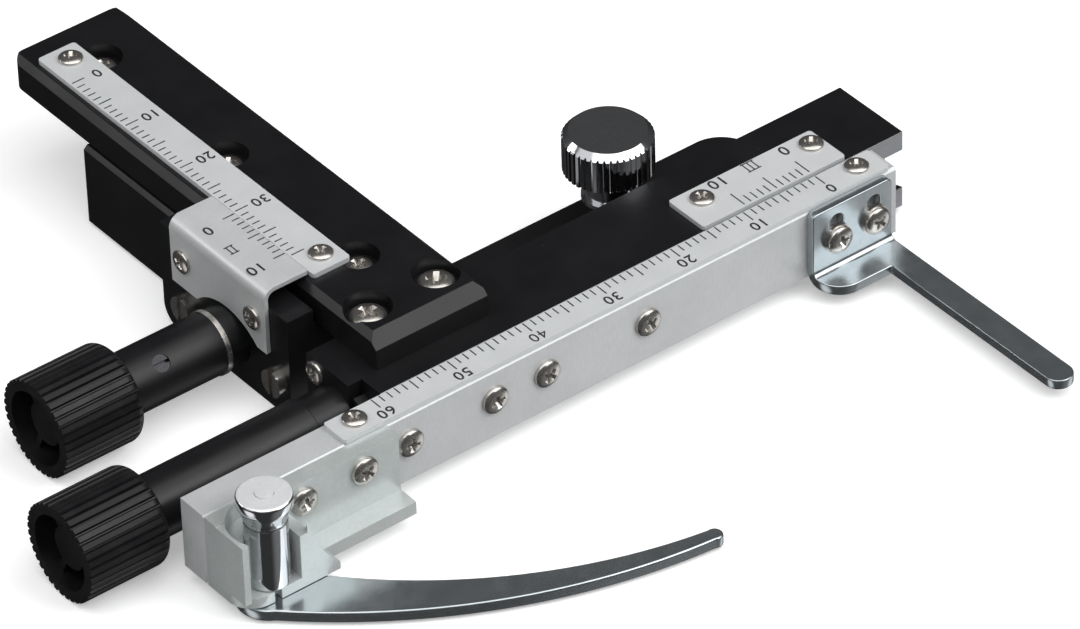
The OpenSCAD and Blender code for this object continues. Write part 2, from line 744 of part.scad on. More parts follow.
module thumbscrew() {
    color(bright) {
        rotate_extrude() polygon([
            [0, stud_recess], [stud_d / 2 - stud_chamfer, stud_recess], [stud_d / 2, stud_recess + stud_chamfer],
            [stud_d / 2, neck_low], [neck_d / 2, neck_low], [neck_d / 2, thumb_low + cut], [0, thumb_low + cut]]);
        translate([0, 0, thumb_low]) intersection() {
            linear_extrude(height = thumb_h) polygon(ribbed_outline(thumb_d / 2, flute_depth, thumb_flutes, flute_land_share));
            union() {
                cylinder(r = thumb_d / 2 + cut, h = thumb_h - thumb_chamfer - cut);
                translate([0, 0, thumb_h - thumb_chamfer - cut])
                    cylinder(r1 = thumb_d / 2 + cut, r2 = thumb_d / 2 - thumb_chamfer, h = thumb_chamfer + cut);
            }
        }
    }
}

// Column bar
rail_screw_ys = [for (step = [-1, 0, 1]) rail_mid_y + step * rail_screw_pitch];
guide_screw_y = guide_back_y - guide_screw_inset;
guide_screw_xs = [for (side = [-1, 1]) column + side * guide_screw_span / 2];
y_scale_front_y = guide_back_y + y_scale_start;
y_scale_screw_x = y_scale_left_x + y_scale_w / 2 + y_scale_screw_shift;
y_scale_screw_ys = [y_scale_front_y + y_scale_screw_inset, y_scale_front_y + y_scale_len - y_scale_screw_inset];
rail_screw_tip_z = rack_root_z + rack_root_cover;

module y_bar() {
    left = column - bar_w / 2;
    right = column + bar_w / 2;
    back = bar_front_y + bar_len;
    color(black) difference() {
        intersection() {
            along_y(bar_front_y - cut, bar_len + 2 * cut) polygon([
                [left, deck_h], [right, deck_h], [right, bar_top - bar_chamfer], [right - bar_chamfer, bar_top],
                [left + bar_chamfer, bar_top], [left, bar_top - bar_chamfer]]);
            union() {
                translate([left - cut, 0, 0]) rotate([90, 0, 90]) linear_extrude(height = bar_w + 2 * cut) polygon([
                    [bar_front_y, deck_h - cut], [back - bar_corner_r, deck_h - cut], [back - bar_corner_r, bar_top + cut],
                    [bar_front_y + bar_nose_chamfer + cut, bar_top + cut], [bar_front_y, bar_top - bar_nose_chamfer]]);
                span([left + bar_corner_r, back - 2 * bar_corner_r, deck_h - cut], [right - bar_corner_r, back, bar_top + cut]);
                for (x = [left + bar_corner_r, right - bar_corner_r])
                    cylinder_at(x, back - bar_corner_r, deck_h - cut, 2 * bar_corner_r, bar_t + 2 * cut);
            }
        }
        for (y = rail_screw_ys) {
            cylinder_at(column, y, deck_h - cut, medium_d + 2 * seat_fit, bar_t + 2 * cut);
            cylinder_at(column, y, bar_top - rail_bore_depth, rail_bore_d, rail_bore_depth + cut);
        }
        for (x = guide_screw_xs) {
            cylinder_at(x, guide_screw_y, deck_h - cut, large_d + 2 * seat_fit, bar_t + 2 * cut);
            cylinder_at(x, guide_screw_y, bar_top - large_bore_depth, large_bore_d, large_bore_depth + cut);
        }
        for (y = y_scale_screw_ys)
            translate([y_scale_screw_x, y, bar_top]) screw_hole(small_d, small_grip);
    }
}

module y_rail() {
    color(steel) difference() {
        along_y(rail_front_y, rail_len) translate([column, deck_h]) rail_section(0, 0);
        span([column - rack_w / 2 - seat_fit, rail_front_y - cut, rail_low - cut],
            [column + rack_w / 2 + seat_fit, rail_front_y + rail_len + cut, rack_top_z]);
        for (y = rail_screw_ys)
            cylinder_at(column, y, rack_top_z - cut, medium_d + 2 * seat_fit, deck_h - rack_top_z + 2 * cut);
    }
}

// Straight-sided rack; a tooth gap stands over the pinion's axis at rest
module rack_tooth_gap() {
    flank = tan(pressure_angle);
    half_gap = tooth_pitch / 4 + tooth_thinning / 2;
    polygon([
        [-half_gap - flank * (rack_pitch_z - rack_tip_z + cut), rack_tip_z - cut],
        [-half_gap + flank * (rack_root_z - rack_pitch_z), rack_root_z],
        [half_gap - flank * (rack_root_z - rack_pitch_z), rack_root_z],
        [half_gap + flank * (rack_pitch_z - rack_tip_z + cut), rack_tip_z - cut]]);
}

module y_rack() {
    first = ceil((rail_front_y - rear_knob_y) / tooth_pitch);
    last = floor((rail_front_y + rail_len - rear_knob_y) / tooth_pitch);
    color(brass) difference() {
        span([column - rack_w / 2, rail_front_y, rack_tip_z], [column + rack_w / 2, rail_front_y + rail_len, rack_top_z]);
        translate([column - rack_w / 2 - cut, 0, 0]) rotate([90, 0, 90]) linear_extrude(height = rack_w + 2 * cut)
            for (i = [first : last]) translate([rear_knob_y + i * tooth_pitch, 0]) rack_tooth_gap();
        for (y = rail_screw_ys)
            cylinder_at(column, y, rail_screw_tip_z - seat_fit, medium_d + 2 * seat_fit, rack_top_z - rail_screw_tip_z + cut);
    }
}

module y_rail_screws() {
    seat = bar_top - rail_bore_depth;
    color(nickel) for (y = rail_screw_ys)
        translate([column, y, seat]) pan_screw(medium_head_d, medium_head_h, medium_d, seat - rail_screw_tip_z);
}

module plate_with_holes(low, high, z, places, corner_r) {
    difference() {
        union() {
            span([low[0] + corner_r, low[1], z], [high[0] - corner_r, high[1], z + plate_t]);
            span([low[0], low[1] + corner_r, z], [high[0], high[1] - corner_r, z + plate_t]);
            for (x = [low[0] + corner_r, high[0] - corner_r])
                for (y = [low[1] + corner_r, high[1] - corner_r])
                    cylinder_at(x, y, z, 2 * corner_r, plate_t);
        }
        for (place = places)
            cylinder_at(place[0], place[1], z - cut, small_d + 2 * seat_fit, plate_t + 2 * cut);
    }
}
// Corner radius of the scale plates
plate_corner_r = 0.4;

module y_scale() {
    color(scale_silver) plate_with_holes(
        [y_scale_left_x, y_scale_front_y], [y_scale_left_x + y_scale_w, y_scale_front_y + y_scale_len],
        bar_top, [for (y = y_scale_screw_ys) [y_scale_screw_x, y]], plate_corner_r);
}

module y_scale_screws() {
    color(nickel) for (y = y_scale_screw_ys)
        translate([y_scale_screw_x, y, bar_top + plate_t]) pan_screw(small_head_d, small_head_h, small_d, plate_t + small_grip);
}

// Large screws through the column bar into the X guide
guide_screw_tip_z = knob_h + channel_d / 2 + seat_fit;
module guide_screws() {
    seat = bar_top - large_bore_depth;
    color(nickel) for (x = guide_screw_xs)
        translate([x, guide_screw_y, seat]) pan_screw(large_head_d, large_head_h, large_d, seat - guide_screw_tip_z);
}

// X guide: front dovetail groove, lead screw channel and the slot between them
module tongue_section(half_mouth, half_floor, depth, grow) {
    polygon([
        [-grow, -half_mouth], [0, -half_mouth], [depth, -half_floor],
        [depth, half_floor], [0, half_mouth], [-grow, half_mouth]]);
}

module along_x(left_x, length) translate([left_x, 0, 0]) rotate([90, 0, 90]) linear_extrude(height = length) children();

x_vernier_screw_y = guide_front_y + x_vernier_w / 2 + x_vernier_screw_shift;
x_vernier_screws_at = [
    [x_vernier_right - x_vernier_len + x_vernier_inset_left, x_vernier_screw_y],
    [x_vernier_right - x_vernier_inset_right, x_vernier_screw_y]];
x_end_screw_y = lead_y + end_screw_back;
x_end_screw_zs = [for (side = [-1, 1]) knob_h + side * end_screw_rise];
vernier_grip = 1.9;
slot_room = 0.15;
end_plate_front_y = guide_front_y + groove_depth + end_plate_room;

module x_guide() {
    color(black) difference() {
        span([guide_left_x, guide_front_y, guide_lift], [guide_right_x, guide_back_y, deck_h]);
        along_x(guide_left_x - cut, guide_len + 2 * cut)
            translate([guide_front_y, groove_z]) tongue_section(groove_mouth, groove_floor, groove_depth, cut);
        translate([guide_left_x - cut, lead_y, knob_h]) rotate([0, 90, 0]) cylinder(d = channel_d, h = guide_len + 2 * cut);
        span([guide_left_x - cut, guide_front_y + groove_depth - cut, groove_z - nut_foot - slot_room],
            [guide_right_x + cut, lead_y, groove_z + nut_foot + slot_room]);
        for (x = guide_screw_xs)
            cylinder_at(x, guide_screw_y, guide_screw_tip_z - seat_fit, large_d + 2 * seat_fit, deck_h);
        for (place = x_vernier_screws_at)
            translate([place[0], place[1], deck_h]) screw_hole(small_d, vernier_grip);
        for (z = x_end_screw_zs)
            translate([guide_left_x, x_end_screw_y, z]) facing_left() screw_hole(small_d, medium_grip);
    }
}

module x_vernier_plate() {
    color(scale_silver) plate_with_holes(
        [x_vernier_right - x_vernier_len, guide_front_y], [x_vernier_right, guide_front_y + x_vernier_w],
        deck_h, x_vernier_screws_at, plate_corner_r);
}

module x_vernier_screws() {
    color(nickel) for (place = x_vernier_screws_at)
        translate([place[0], place[1], deck_h + plate_t]) pan_screw(small_head_d, small_head_h, small_d, plate_t + vernier_grip);
}

module x_end_plate() {
    color(black) difference() {
        span([end_plate_x, end_plate_front_y, guide_lift], [guide_left_x, guide_back_y, deck_h]);
        translate([end_plate_x - cut, lead_y, knob_h]) rotate([0, 90, 0])
            cylinder(r = bush_neck_r + seat_fit, h = end_plate_t + 2 * cut);
        for (z = x_end_screw_zs)
            translate([end_plate_x, x_end_screw_y, z]) facing_left() screw_hole(small_d, end_plate_t + cut);
    }
}

module x_end_screws() {
    color(nickel) for (z = x_end_screw_zs)
        translate([end_plate_x, x_end_screw_y, z]) facing_left()
            pan_screw(small_head_d, small_head_h, small_d, end_plate_t + medium_grip);
}

// Bearing bush in the end plate
bush_neck_r = 2.1;
module x_bearing_bush() {
    color(black) translate([bush_left_x, lead_y, knob_h]) rotate([0, 90, 0]) difference() {
        union() {
            cylinder(d = bush_d, h = bush_len);
            cylinder(r = bush_neck_r, h = bush_len + end_plate_t);
        }
        translate([0, 0, -cut]) cylinder(d = shaft_d + 2 * running_fit, h = bush_len + end_plate_t + 2 * cut);
    }
}

module x_tail_bush() {
    color(nickel) translate([guide_right_x - tail_bush_t, lead_y, knob_h]) rotate([0, 90, 0]) difference() {
        cylinder(d = channel_d - 2 * seat_fit, h = tail_bush_t);
        translate([0, 0, -cut]) cylinder(d = tail_d + 2 * running_fit, h = tail_bush_t + 2 * cut);
        span([-channel_d, -channel_d, -cut], [channel_d, guide_front_y + groove_depth - lead_y, tail_bush_t + cut]);
    }
}

// Involute pinion; one tooth points straight up at rest
function roll(r) = sqrt(max(0, pow(r / base_r, 2) - 1));
function involute(r) = roll(r) * 180 / PI - atan(roll(r));
function half_tooth(r) =
    90 / pinion_teeth - tooth_thinning / 2 / pitch_r * 180 / PI + involute(pitch_r) - involute(max(r, base_r));
flank_shares = [0, 0.25, 0.5, 0.75, 1];
flank_rs = concat([pinion_root_r], [for (share = flank_shares) base_r + share * (pinion_tip_r - base_r)]);
pinion_outline = [
    for (i = [0 : pinion_teeth - 1])
        for (side = [-1, 1])
            for (k = [0 : len(flank_rs) - 1])
                let (r = flank_rs[side < 0 ? k : len(flank_rs) - 1 - k],
                    angle = i * 360 / pinion_teeth + side * half_tooth(r))
                    [r * cos(angle), r * sin(angle)]];

module y_pinion() {
    color(brass) translate([column - pinion_w / 2, rear_knob_y, knob_h]) rotate([90, 0, 90]) rotate([0, 0, 90]) difference() {
        linear_extrude(height = pinion_w) polygon(pinion_outline);
        translate([0, 0, -cut]) cylinder(d = shaft_d + 2 * seat_fit, h = pinion_w + 2 * cut);
    }
}

shaft_end_x = column + pinion_w / 2 + pinion_room + far_bearing - pass_gap;

module y_pinion_shaft() {
    color(steel) translate([rear_knob_x + shaft_inset, rear_knob_y, knob_h]) rotate([0, 90, 0])
        cylinder(d = shaft_d, h = shaft_end_x - rear_knob_x - shaft_inset);
}

module y_shaft_washer() {
    color(nickel) translate([washer_left_x, rear_knob_y, knob_h]) rotate([0, 90, 0]) difference() {
        cylinder(d = tube_d + washer_lip, h = washer_t);
        translate([0, 0, -cut]) cylinder(d = shaft_d + 2 * seat_fit, h = washer_t + 2 * cut);
    }
}
// Width by which the shaft washer stands out past the sleeve
washer_lip = 0.3;

grub_x = rear_head_x + grub_inset;
// Angle of the grub screw from the vertical, towards the front
grub_angle = 41;
grub_depth = 1.9;

module knob_tube(left_x, right_x, y) {
    translate([left_x, y, knob_h]) rotate([0, 90, 0]) difference() {
        cylinder(d = tube_d, h = right_x - left_x);
        translate([0, 0, -cut]) cylinder(d = shaft_d + 2 * seat_fit, h = right_x - left_x + 2 * cut);
    }
}

module grub_frame() translate([grub_x, rear_knob_y, knob_h]) rotate([grub_angle, 0, 0]) children();

module y_knob_sleeve() {
    color(black) difference() {
        knob_tube(rear_head_x - tube_seat, washer_left_x, rear_knob_y);
        grub_frame() cylinder(d = grub_d + 2 * seat_fit, h = tube_d);
    }
}

module y_grub_screw() {
    low = tube_d / 2 - grub_depth;
    color(steel) grub_frame() difference() {
        translate([0, 0, low]) cylinder(d = grub_d, h = grub_depth - grub_sink);
        translate([-grub_d, -grub_d * slot_w_share / 2, tube_d / 2 - grub_sink - grub_d / 4])
            cube([2 * grub_d, grub_d * slot_w_share, grub_d]);
    }
}

// Ribbed knob head with a hollow end, three spokes and a hub
hub_wall = 1;
rib_land_share = 0.55;

module knob_head(end_x, y) {
    hub_r_out = shaft_d / 2 + hub_wall;
    web_low = hollow_depth;
    web_high = head_len - tube_seat;
    translate([end_x, y, knob_h]) rotate([0, 90, 0]) difference() {
        union() {
            difference() {
                intersection() {
                    linear_extrude(height = head_len) polygon(ribbed_outline(head_d / 2, rib_depth, knob_ribs, rib_land_share));
                    rotate_extrude() {
                        square([head_d / 2, head_len - shoulder_r]);
                        square([head_d / 2 - shoulder_r, head_len]);
                        translate([head_d / 2 - shoulder_r, head_len - shoulder_r]) circle(r = shoulder_r);
                    }
                }
                translate([0, 0, -cut]) cylinder(r = head_d / 2 - rib_depth - rim_t, h = hollow_depth + cut);
            }
            translate([0, 0, spoke_drop]) cylinder(r = hub_r_out, h = web_high - spoke_drop);
            for (turn = [0 : 2])
                rotate([0, 0, turn * 360 / 3 + spoke_turn])
                    translate([0, -spoke_t / 2, spoke_drop])
                        cube([head_d / 2 - rib_depth - rim_t / 2, spoke_t, hollow_depth - spoke_drop + cut]);
        }
        translate([0, 0, web_high]) cylinder(d = tube_d + 2 * seat_fit, h = tube_seat + cut);
        translate([0, 0, shaft_inset - seat_fit]) cylinder(d = shaft_d + 2 * seat_fit, h = head_len);
    }
}
spoke_turn = 25;

module y_knob_head() color(knob_black) knob_head(rear_knob_x, rear_knob_y);
module x_knob_head() color(knob_black) knob_head(front_knob_x, lead_y);
module x_knob_tube() color(black) knob_tube(front_head_x - tube_seat, bush_left_x - pass_gap, lead_y);

// Lead screw: the left journal, the threaded length and the right journal
thread_left_x = nut_x - nut_len / 2 - thread_left;
module x_lead_screw() {
    color(steel) translate([0, lead_y, knob_h]) rotate([0, 90, 0]) {
        translate([0, 0, front_knob_x + shaft_inset])
            cylinder(d = shaft_d, h = thread_left_x - front_knob_x - shaft_inset);
        translate([0, 0, thread_left_x]) cylinder(d = lead_d, h = guide_right_x - tail_bush_t - pass_gap - thread_left_x);
        translate([0, 0, thread_left_x]) cylinder(d = tail_d, h = guide_right_x - thread_left_x);
    }
}

// Specimen bar with its tongue and nut
bar_screw_xs = concat(
    [for (side = [-1, 1]) tongue_x + side * tongue_screw_span / 2],
    [for (side = [-1, 1]) nut_x + side * nut_screw_span / 2]);
x_scale_right_x = specimen_right - x_scale_inset;
x_scale_front_y = specimen_front_y + x_scale_edge;
x_scale_screw_y = x_scale_front_y + x_scale_w / 2 + x_scale_screw_shift;
x_scale_screws_at = [
    [x_scale_right_x - x_scale_len + x_scale_screw_inset, x_scale_screw_y],
    [x_scale_right_x - x_scale_screw_inset, x_scale_screw_y]];
finger_right_x = specimen_right - finger_inset;
finger_screw_xs = [
    finger_right_x - finger_screw_inset - finger_screw_span, finger_right_x - finger_screw_inset];
clamp_right_x = specimen_left_x + wing_len;
clamp_screw_xs = [
    clamp_right_x - clamp_screw_inset - clamp_screw_span, clamp_right_x - clamp_screw_inset];
specimen_chamfer = 0.3;

module specimen_bar() {
    color(bright) difference() {
        along_x(specimen_left_x, specimen_len) polygon([
            [specimen_back_y, specimen_low], [specimen_back_y, deck_h],
            [specimen_front_y + specimen_chamfer, deck_h], [specimen_front_y, deck_h - specimen_chamfer],
            [specimen_front_y, specimen_low + specimen_chamfer], [specimen_front_y + specimen_chamfer, specimen_low]]);
        for (x = bar_screw_xs)
            translate([x, specimen_front_y, bar_screw_h]) facing_front() screw_hole(medium_d, specimen_t + cut);
        for (x = finger_screw_xs)
            translate([x, specimen_front_y, finger_screw_h]) facing_front() screw_hole(medium_d, medium_grip);
        for (x = clamp_screw_xs)
            translate([x, specimen_front_y, clamp_screw_h]) facing_front() screw_hole(medium_d, medium_grip);
        for (place = x_scale_screws_at)
            translate([place[0], place[1], deck_h]) screw_hole(small_d, scale_grip);
    }
}
// Length of the X scale's screws inside the specimen bar
scale_grip = 1.6;

tongue_depth = groove_depth - tongue_room;
module x_tongue() {
    color(black) difference() {
        along_x(tongue_x - tongue_len / 2, tongue_len)
            translate([guide_front_y, groove_z])
                tongue_section(groove_mouth - slide_fit, groove_floor - slide_fit - tongue_taper, tongue_depth, bar_gap);
        for (x = bar_screw_xs)
            translate([x, specimen_back_y, bar_screw_h]) facing_front() screw_hole(medium_d, bar_gap + groove_depth + cut);
    }
}
// Extra clearance at the tongue's widest part
tongue_taper = 0.04;

module x_nut() {
    foot_y = guide_front_y + tongue_depth;
    color(brass) difference() {
        union() {
            span([nut_x - nut_len / 2, foot_y, groove_z - nut_foot], [nut_x + nut_len / 2, lead_y, groove_z + nut_foot]);
            translate([nut_x - nut_len / 2, lead_y, knob_h]) rotate([0, 90, 0])
                cylinder(d = channel_d - 2 * slot_room, h = nut_len);
        }
        translate([nut_x - nut_len / 2 - cut, lead_y, knob_h]) rotate([0, 90, 0])
            cylinder(d = lead_d + 2 * running_fit, h = nut_len + 2 * cut);
        span([nut_x - nut_len, foot_y - channel_d, guide_lift], [nut_x + nut_len, foot_y, deck_h]);
        for (side = [-1, 1])
            translate([nut_x + side * nut_screw_span / 2, foot_y, bar_screw_h]) facing_front() screw_hole(medium_d, nut_grip);
    }
}
// Length of the nut's screws inside its foot
nut_grip = 0.7;

bar_screw_len = specimen_t + bar_gap + tongue_depth;
module bar_screws() {
    color(nickel) {
        for (side = [-1, 1]) {
            translate([tongue_x + side * tongue_screw_span / 2, specimen_front_y, bar_screw_h]) facing_front()
                pan_screw(medium_head_d, medium_head_h, medium_d, bar_screw_len);
            translate([nut_x + side * nut_screw_span / 2, specimen_front_y, bar_screw_h]) facing_front()
                pan_screw(medium_head_d, medium_head_h, medium_d, bar_screw_len + nut_grip);
        }
    }
}

module x_scale() {
    color(scale_silver) plate_with_holes(
        [x_scale_right_x - x_scale_len, x_scale_front_y], [x_scale_right_x, x_scale_front_y + x_scale_w],
        deck_h, x_scale_screws_at, plate_corner_r);
}

module x_scale_screws() {
    color(nickel) for (place = x_scale_screws_at)
        translate([place[0], place[1], deck_h + plate_t]) pan_screw(small_head_d, small_head_h, small_d, plate_t + scale_grip);
}

// Fixed finger: a slotted plate, a bend, a foot and the finger itself
module fixed_finger() {
    left = finger_right_x - finger_plate_w;
    outer_r = finger_bend_r + finger_t;
    bend_y = finger_face_y - finger_bend_r;
    bend_z = finger_lift + outer_r;
    foot_y = specimen_front_y - foot_depth;
    tip_y = specimen_front_y - finger_len;
    corner_r = foot_depth - outer_r;
    color(bright) difference() {
        union() {
            translate([0, specimen_front_y, 0]) facing_front() linear_extrude(height = finger_t) {
                translate([left, bend_z]) square([finger_plate_w, finger_top - finger_corner_r - bend_z]);
                translate([left + finger_corner_r, bend_z]) square([finger_plate_w - 2 * finger_corner_r, finger_top - bend_z]);
                for (x = [left + finger_corner_r, finger_right_x - finger_corner_r])
                    translate([x, finger_top - finger_corner_r]) circle(r = finger_corner_r);
            }
            intersection() {
                translate([left, bend_y, bend_z]) rotate([0, 90, 0]) difference() {
                    cylinder(r = outer_r, h = finger_plate_w);
                    translate([0, 0, -cut]) cylinder(r = finger_bend_r, h = finger_plate_w + 2 * cut);
                }
                span([left, bend_y, finger_lift], [finger_right_x, specimen_front_y, bend_z]);
            }
            span([left + corner_r, foot_y, finger_lift], [finger_right_x, bend_y, finger_lift + finger_t]);
            intersection() {
                cylinder_at(left + corner_r, bend_y, finger_lift, 2 * corner_r, finger_t);
                span([left, foot_y, finger_lift], [left + corner_r, bend_y, bend_z]);
            }
            span([finger_right_x - finger_w, tip_y + finger_w / 2, finger_lift], [finger_right_x, bend_y, finger_lift + finger_t]);
            cylinder_at(finger_right_x - finger_w / 2, tip_y + finger_w / 2, finger_lift, finger_w, finger_t);
        }
        for (x = finger_screw_xs)
            translate([x, finger_face_y, finger_screw_h + slot_shift]) facing_front() finger_slot();
    }
}
// Rise of the slots' centres above the finger's screws
slot_shift = 0.9;

module finger_slot() {
    slot_r = medium_d / 2 + slide_fit;
    translate([0, 0, -finger_t - cut]) {
        translate([-slot_r, -slot_len / 2 + slot_r, 0]) cube([2 * slot_r, slot_len - 2 * slot_r, finger_t + 2 * cut]);
        for (side = [-1, 1])
            translate([0, side * (slot_len / 2 - slot_r), 0]) cylinder(r = slot_r, h = finger_t + 2 * cut);
    }
}

// Washers under the finger's screws
lock_t = 0.35;
lock_d = 3.6;
module finger_washers() {
    color(nickel) for (x = finger_screw_xs)
        translate([x, finger_face_y, finger_screw_h]) facing_front() difference() {
            cylinder(d = lock_d, h = lock_t);
            translate([0, 0, -cut]) cylinder(d = medium_d + 2 * seat_fit, h = lock_t + 2 * cut);
        }
}

module finger_screws() {
    color(nickel) for (x = finger_screw_xs)
        translate([x, finger_face_y - lock_t, finger_screw_h]) facing_front()
            pan_screw(medium_head_d, medium_head_h, medium_d, lock_t + finger_t + medium_grip);
}

// Clamp block: the pivot's boss, a wing screwed to the bar and a shelf
boss_top = deck_h - boss_top_drop;
floor_corner_r = 3;
// Distance from the pivot back to the rear of the front opening
opening_back = 0.9;
// Width of the notch for the spring's lower leg
leg_notch = 0.9;

module clamp_block() {
    left = specimen_left_x;
    right = pivot_x + boss_right;
    front = specimen_front_y - boss_depth;
    floor_top = specimen_low + block_floor;
    shelf_top = specimen_low + shelf_t;
    flank_z = specimen_low + foot_rise + sqrt(pow(block_fillet_r, 2) - pow(block_fillet_r - foot_len, 2));
    color(cast_grey) difference() {
        union() {
            span([left, front + floor_corner_r, specimen_low], [right, specimen_front_y, boss_top]);
            span([left + floor_corner_r, front, specimen_low], [right, specimen_front_y, floor_top]);
            span([left, front, floor_top], [right, specimen_front_y, boss_top]);
            cylinder_at(left + floor_corner_r, front + floor_corner_r, specimen_low, 2 * floor_corner_r, block_floor);
            span([left, specimen_front_y - wing_t, specimen_low], [clamp_right_x, specimen_front_y, deck_h]);
            span([left + floor_corner_r, specimen_front_y - shelf_depth, specimen_low], [clamp_right_x, specimen_front_y, shelf_top]);
            difference() {
                span([right - cut, front, specimen_low], [right + foot_len, specimen_front_y, boss_top]);
                translate([right + block_fillet_r, front - cut, flank_z]) rotate([-90, 0, 0])
                    cylinder(r = block_fillet_r, h = boss_depth + 2 * cut);
            }
        }
        span([left + boss_wall, front - cut, floor_top], [pivot_x + boss_right - boss_wall, pivot_y + opening_back, boss_top + cut]);
        cylinder_at(pivot_x, pivot_y, floor_top, barrel_d + 2 * running_fit, boss_top);
        cylinder_at(pivot_x, pivot_y, boss_top - recess_depth, 2 * recess_r, recess_depth + cut);
        cylinder_at(pivot_x, pivot_y, specimen_low - cut, pin_d + 2 * running_fit, block_floor + 2 * cut);
        span([pivot_x - leg_notch, front - cut, specimen_low - cut], [pivot_x, front + leg_notch, floor_top + cut]);
        for (x = clamp_screw_xs)
            translate([x, specimen_front_y - wing_t, clamp_screw_h]) facing_front() screw_hole(medium_d, wing_t + cut);
    }
}

module clamp_block_screws() {
    color(nickel) for (x = clamp_screw_xs)
        translate([x, specimen_front_y - wing_t, clamp_screw_h]) facing_front()
            pan_screw(medium_head_d, medium_head_h, medium_d, wing_t + medium_grip);
}

// Clamp arm: a curved lever between two arcs, with a hub and a round tip
lever_low = specimen_low - pass_gap / 2 - lever_t;
chord = norm([lever_reach_x, lever_reach_y]);
along = [lever_reach_x, -lever_reach_y] / chord;
inward = [lever_reach_y, lever_reach_x] / chord;

// Centre of the arc of a given radius from the hub's side to the tip's side, bulging outwards
function arc_centre(side, radius) =
    let (from = side * hub_r * inward, to = chord * along + side * tip_r * inward,
        half = norm(to - from) / 2, line = (to - from) / (2 * half), normal = [-line[1], line[0]])
        (from + to) / 2 + normal * sqrt(radius * radius - half * half);

module clamp_arm() {
    inner = arc_centre(1, lever_inner_r);
    outer = arc_centre(-1, lever_outer_r);
    color(bright) translate([pivot_x, pivot_y, lever_low]) difference() {
        union() {
            difference() {
                intersection() {
                    cylinder_at(outer[0], outer[1], 0, 2 * lever_outer_r, lever_t);
                    rotate([0, 0, -atan(lever_reach_y / lever_reach_x)])
                        span([0, -chord / 2, 0], [chord, chord / 2, lever_t]);
                }
                cylinder_at(inner[0], inner[1], -cut, 2 * lever_inner_r, lever_t + 2 * cut);
            }
            cylinder(r = hub_r, h = lever_t);
            cylinder_at(lever_reach_x, -lever_reach_y, 0, 2 * tip_r, lever_t);
        }
        cylinder_at(0, 0, -cut, pin_d + 2 * seat_fit, lever_t + 2 * cut);
    }
}

barrel_low = specimen_low + block_floor + pass_gap / 2;
barrel_top = deck_h + barrel_rise;

module pivot_pin() {
    color(steel) cylinder_at(pivot_x, pivot_y, lever_low, pin_d, barrel_top + pin_proud - lever_low);
}

// The pivot barrel is a cap that turns with the pin and hides the spring
barrel_groove_w = 0.25;
barrel_groove_depth = 0.15;
module pivot_barrel() {
    cap_low = barrel_top - cap_t;
    taper_low = cap_low - cap_taper;
    color(bright) translate([pivot_x, pivot_y, 0]) difference() {
        union() {
            cylinder_at(0, 0, barrel_low, barrel_d, taper_low - barrel_low);
            translate([0, 0, taper_low]) cylinder(d1 = barrel_d, d2 = cap_d, h = cap_taper);
            translate([0, 0, cap_low]) rotate_extrude() {
                square([cap_d / 2 - cap_edge_r, cap_t]);
                square([cap_d / 2, cap_t - cap_edge_r]);
                translate([cap_d / 2 - cap_edge_r, cap_t - cap_edge_r]) circle(r = cap_edge_r);
            }
        }
        cylinder_at(0, 0, barrel_low - cut, barrel_d - 2 * barrel_wall, cap_low - core_len - barrel_low + cut);
        cylinder_at(0, 0, barrel_low, pin_d + 2 * seat_fit, barrel_top - barrel_low + cut);
        translate([0, 0, boss_top + barrel_groove_w]) rotate_extrude()
            translate([barrel_d / 2 - barrel_groove_depth, 0]) square([cut, barrel_groove_w]);
    }
}
cap_edge_r = 0.4;
// Length over which the pin is gripped below the cap
core_len = 1.6;

// Torsion spring inside the barrel, one open helix with its ends closed
spring_r = pin_d / 2 + (barrel_d / 2 - barrel_wall - pin_d / 2) / 2;
spring_steps = 14;
spring_sides = 6;
spring_top = barrel_top - cap_t - core_len;
spring_low = barrel_low + wire_d;
spring_pitch = (spring_top - wire_d / 2 - spring_low) / spring_turns;
function helix_point(k) =
    let (angle = k * 360 / spring_steps) [spring_r * cos(angle), spring_r * sin(angle), spring_low + spring_pitch * k / spring_steps];
function helix_ring(k) =
    let (angle = k * 360 / spring_steps, out = [cos(angle), sin(angle), 0], rise = [0, 0, 1])
        [for (s = [0 : spring_sides - 1])
            let (turn = s * 360 / spring_sides)
                helix_point(k) + wire_d / 2 * (out * cos(turn) + rise * sin(turn))];
spring_rings = spring_turns * spring_steps;

module torsion_spring() {
    last = spring_rings * spring_sides;
    sides = spring_sides;
    color(steel) translate([pivot_x, pivot_y, 0]) polyhedron(
        points = [for (k = [0 : spring_rings]) each helix_ring(k)],
        faces = concat(
            [for (s = [1 : sides - 2]) [0, s, s + 1]],
            [for (k = [0 : spring_rings - 1]) for (s = [0 : sides - 1])
                each [
                    [k * sides + s, (k + 1) * sides + s, (k + 1) * sides + (s + 1) % sides],
                    [k * sides + s, (k + 1) * sides + (s + 1) % sides, k * sides + (s + 1) % sides]]],
            [for (s = [1 : sides - 2]) [last, last + s + 1, last + s]]));
}

base_block();
mounting_arm();
arm_screws();
bearing_flange();
flange_screws();
y_vernier_bracket();
y_vernier_screws();
clamp_collar();
thumbscrew();
y_bar();
y_rail();
y_rack();
y_rail_screws();
y_scale();
y_scale_screws();
guide_screws();
x_guide();
x_vernier_plate();
x_vernier_screws();
x_end_plate();
x_end_screws();
x_bearing_bush();
x_tail_bush();
y_pinion_shaft();
y_pinion();
y_shaft_washer();
y_knob_sleeve();
y_knob_head();
y_grub_screw();
x_lead_screw();
x_knob_tube();
x_knob_head();
specimen_bar();
x_tongue();
x_nut();
bar_screws();
x_scale();
x_scale_screws();
fixed_finger();
finger_washers();
finger_screws();
clamp_block();
clamp_block_screws();
clamp_arm();
pivot_pin();
pivot_barrel();
torsion_spring();
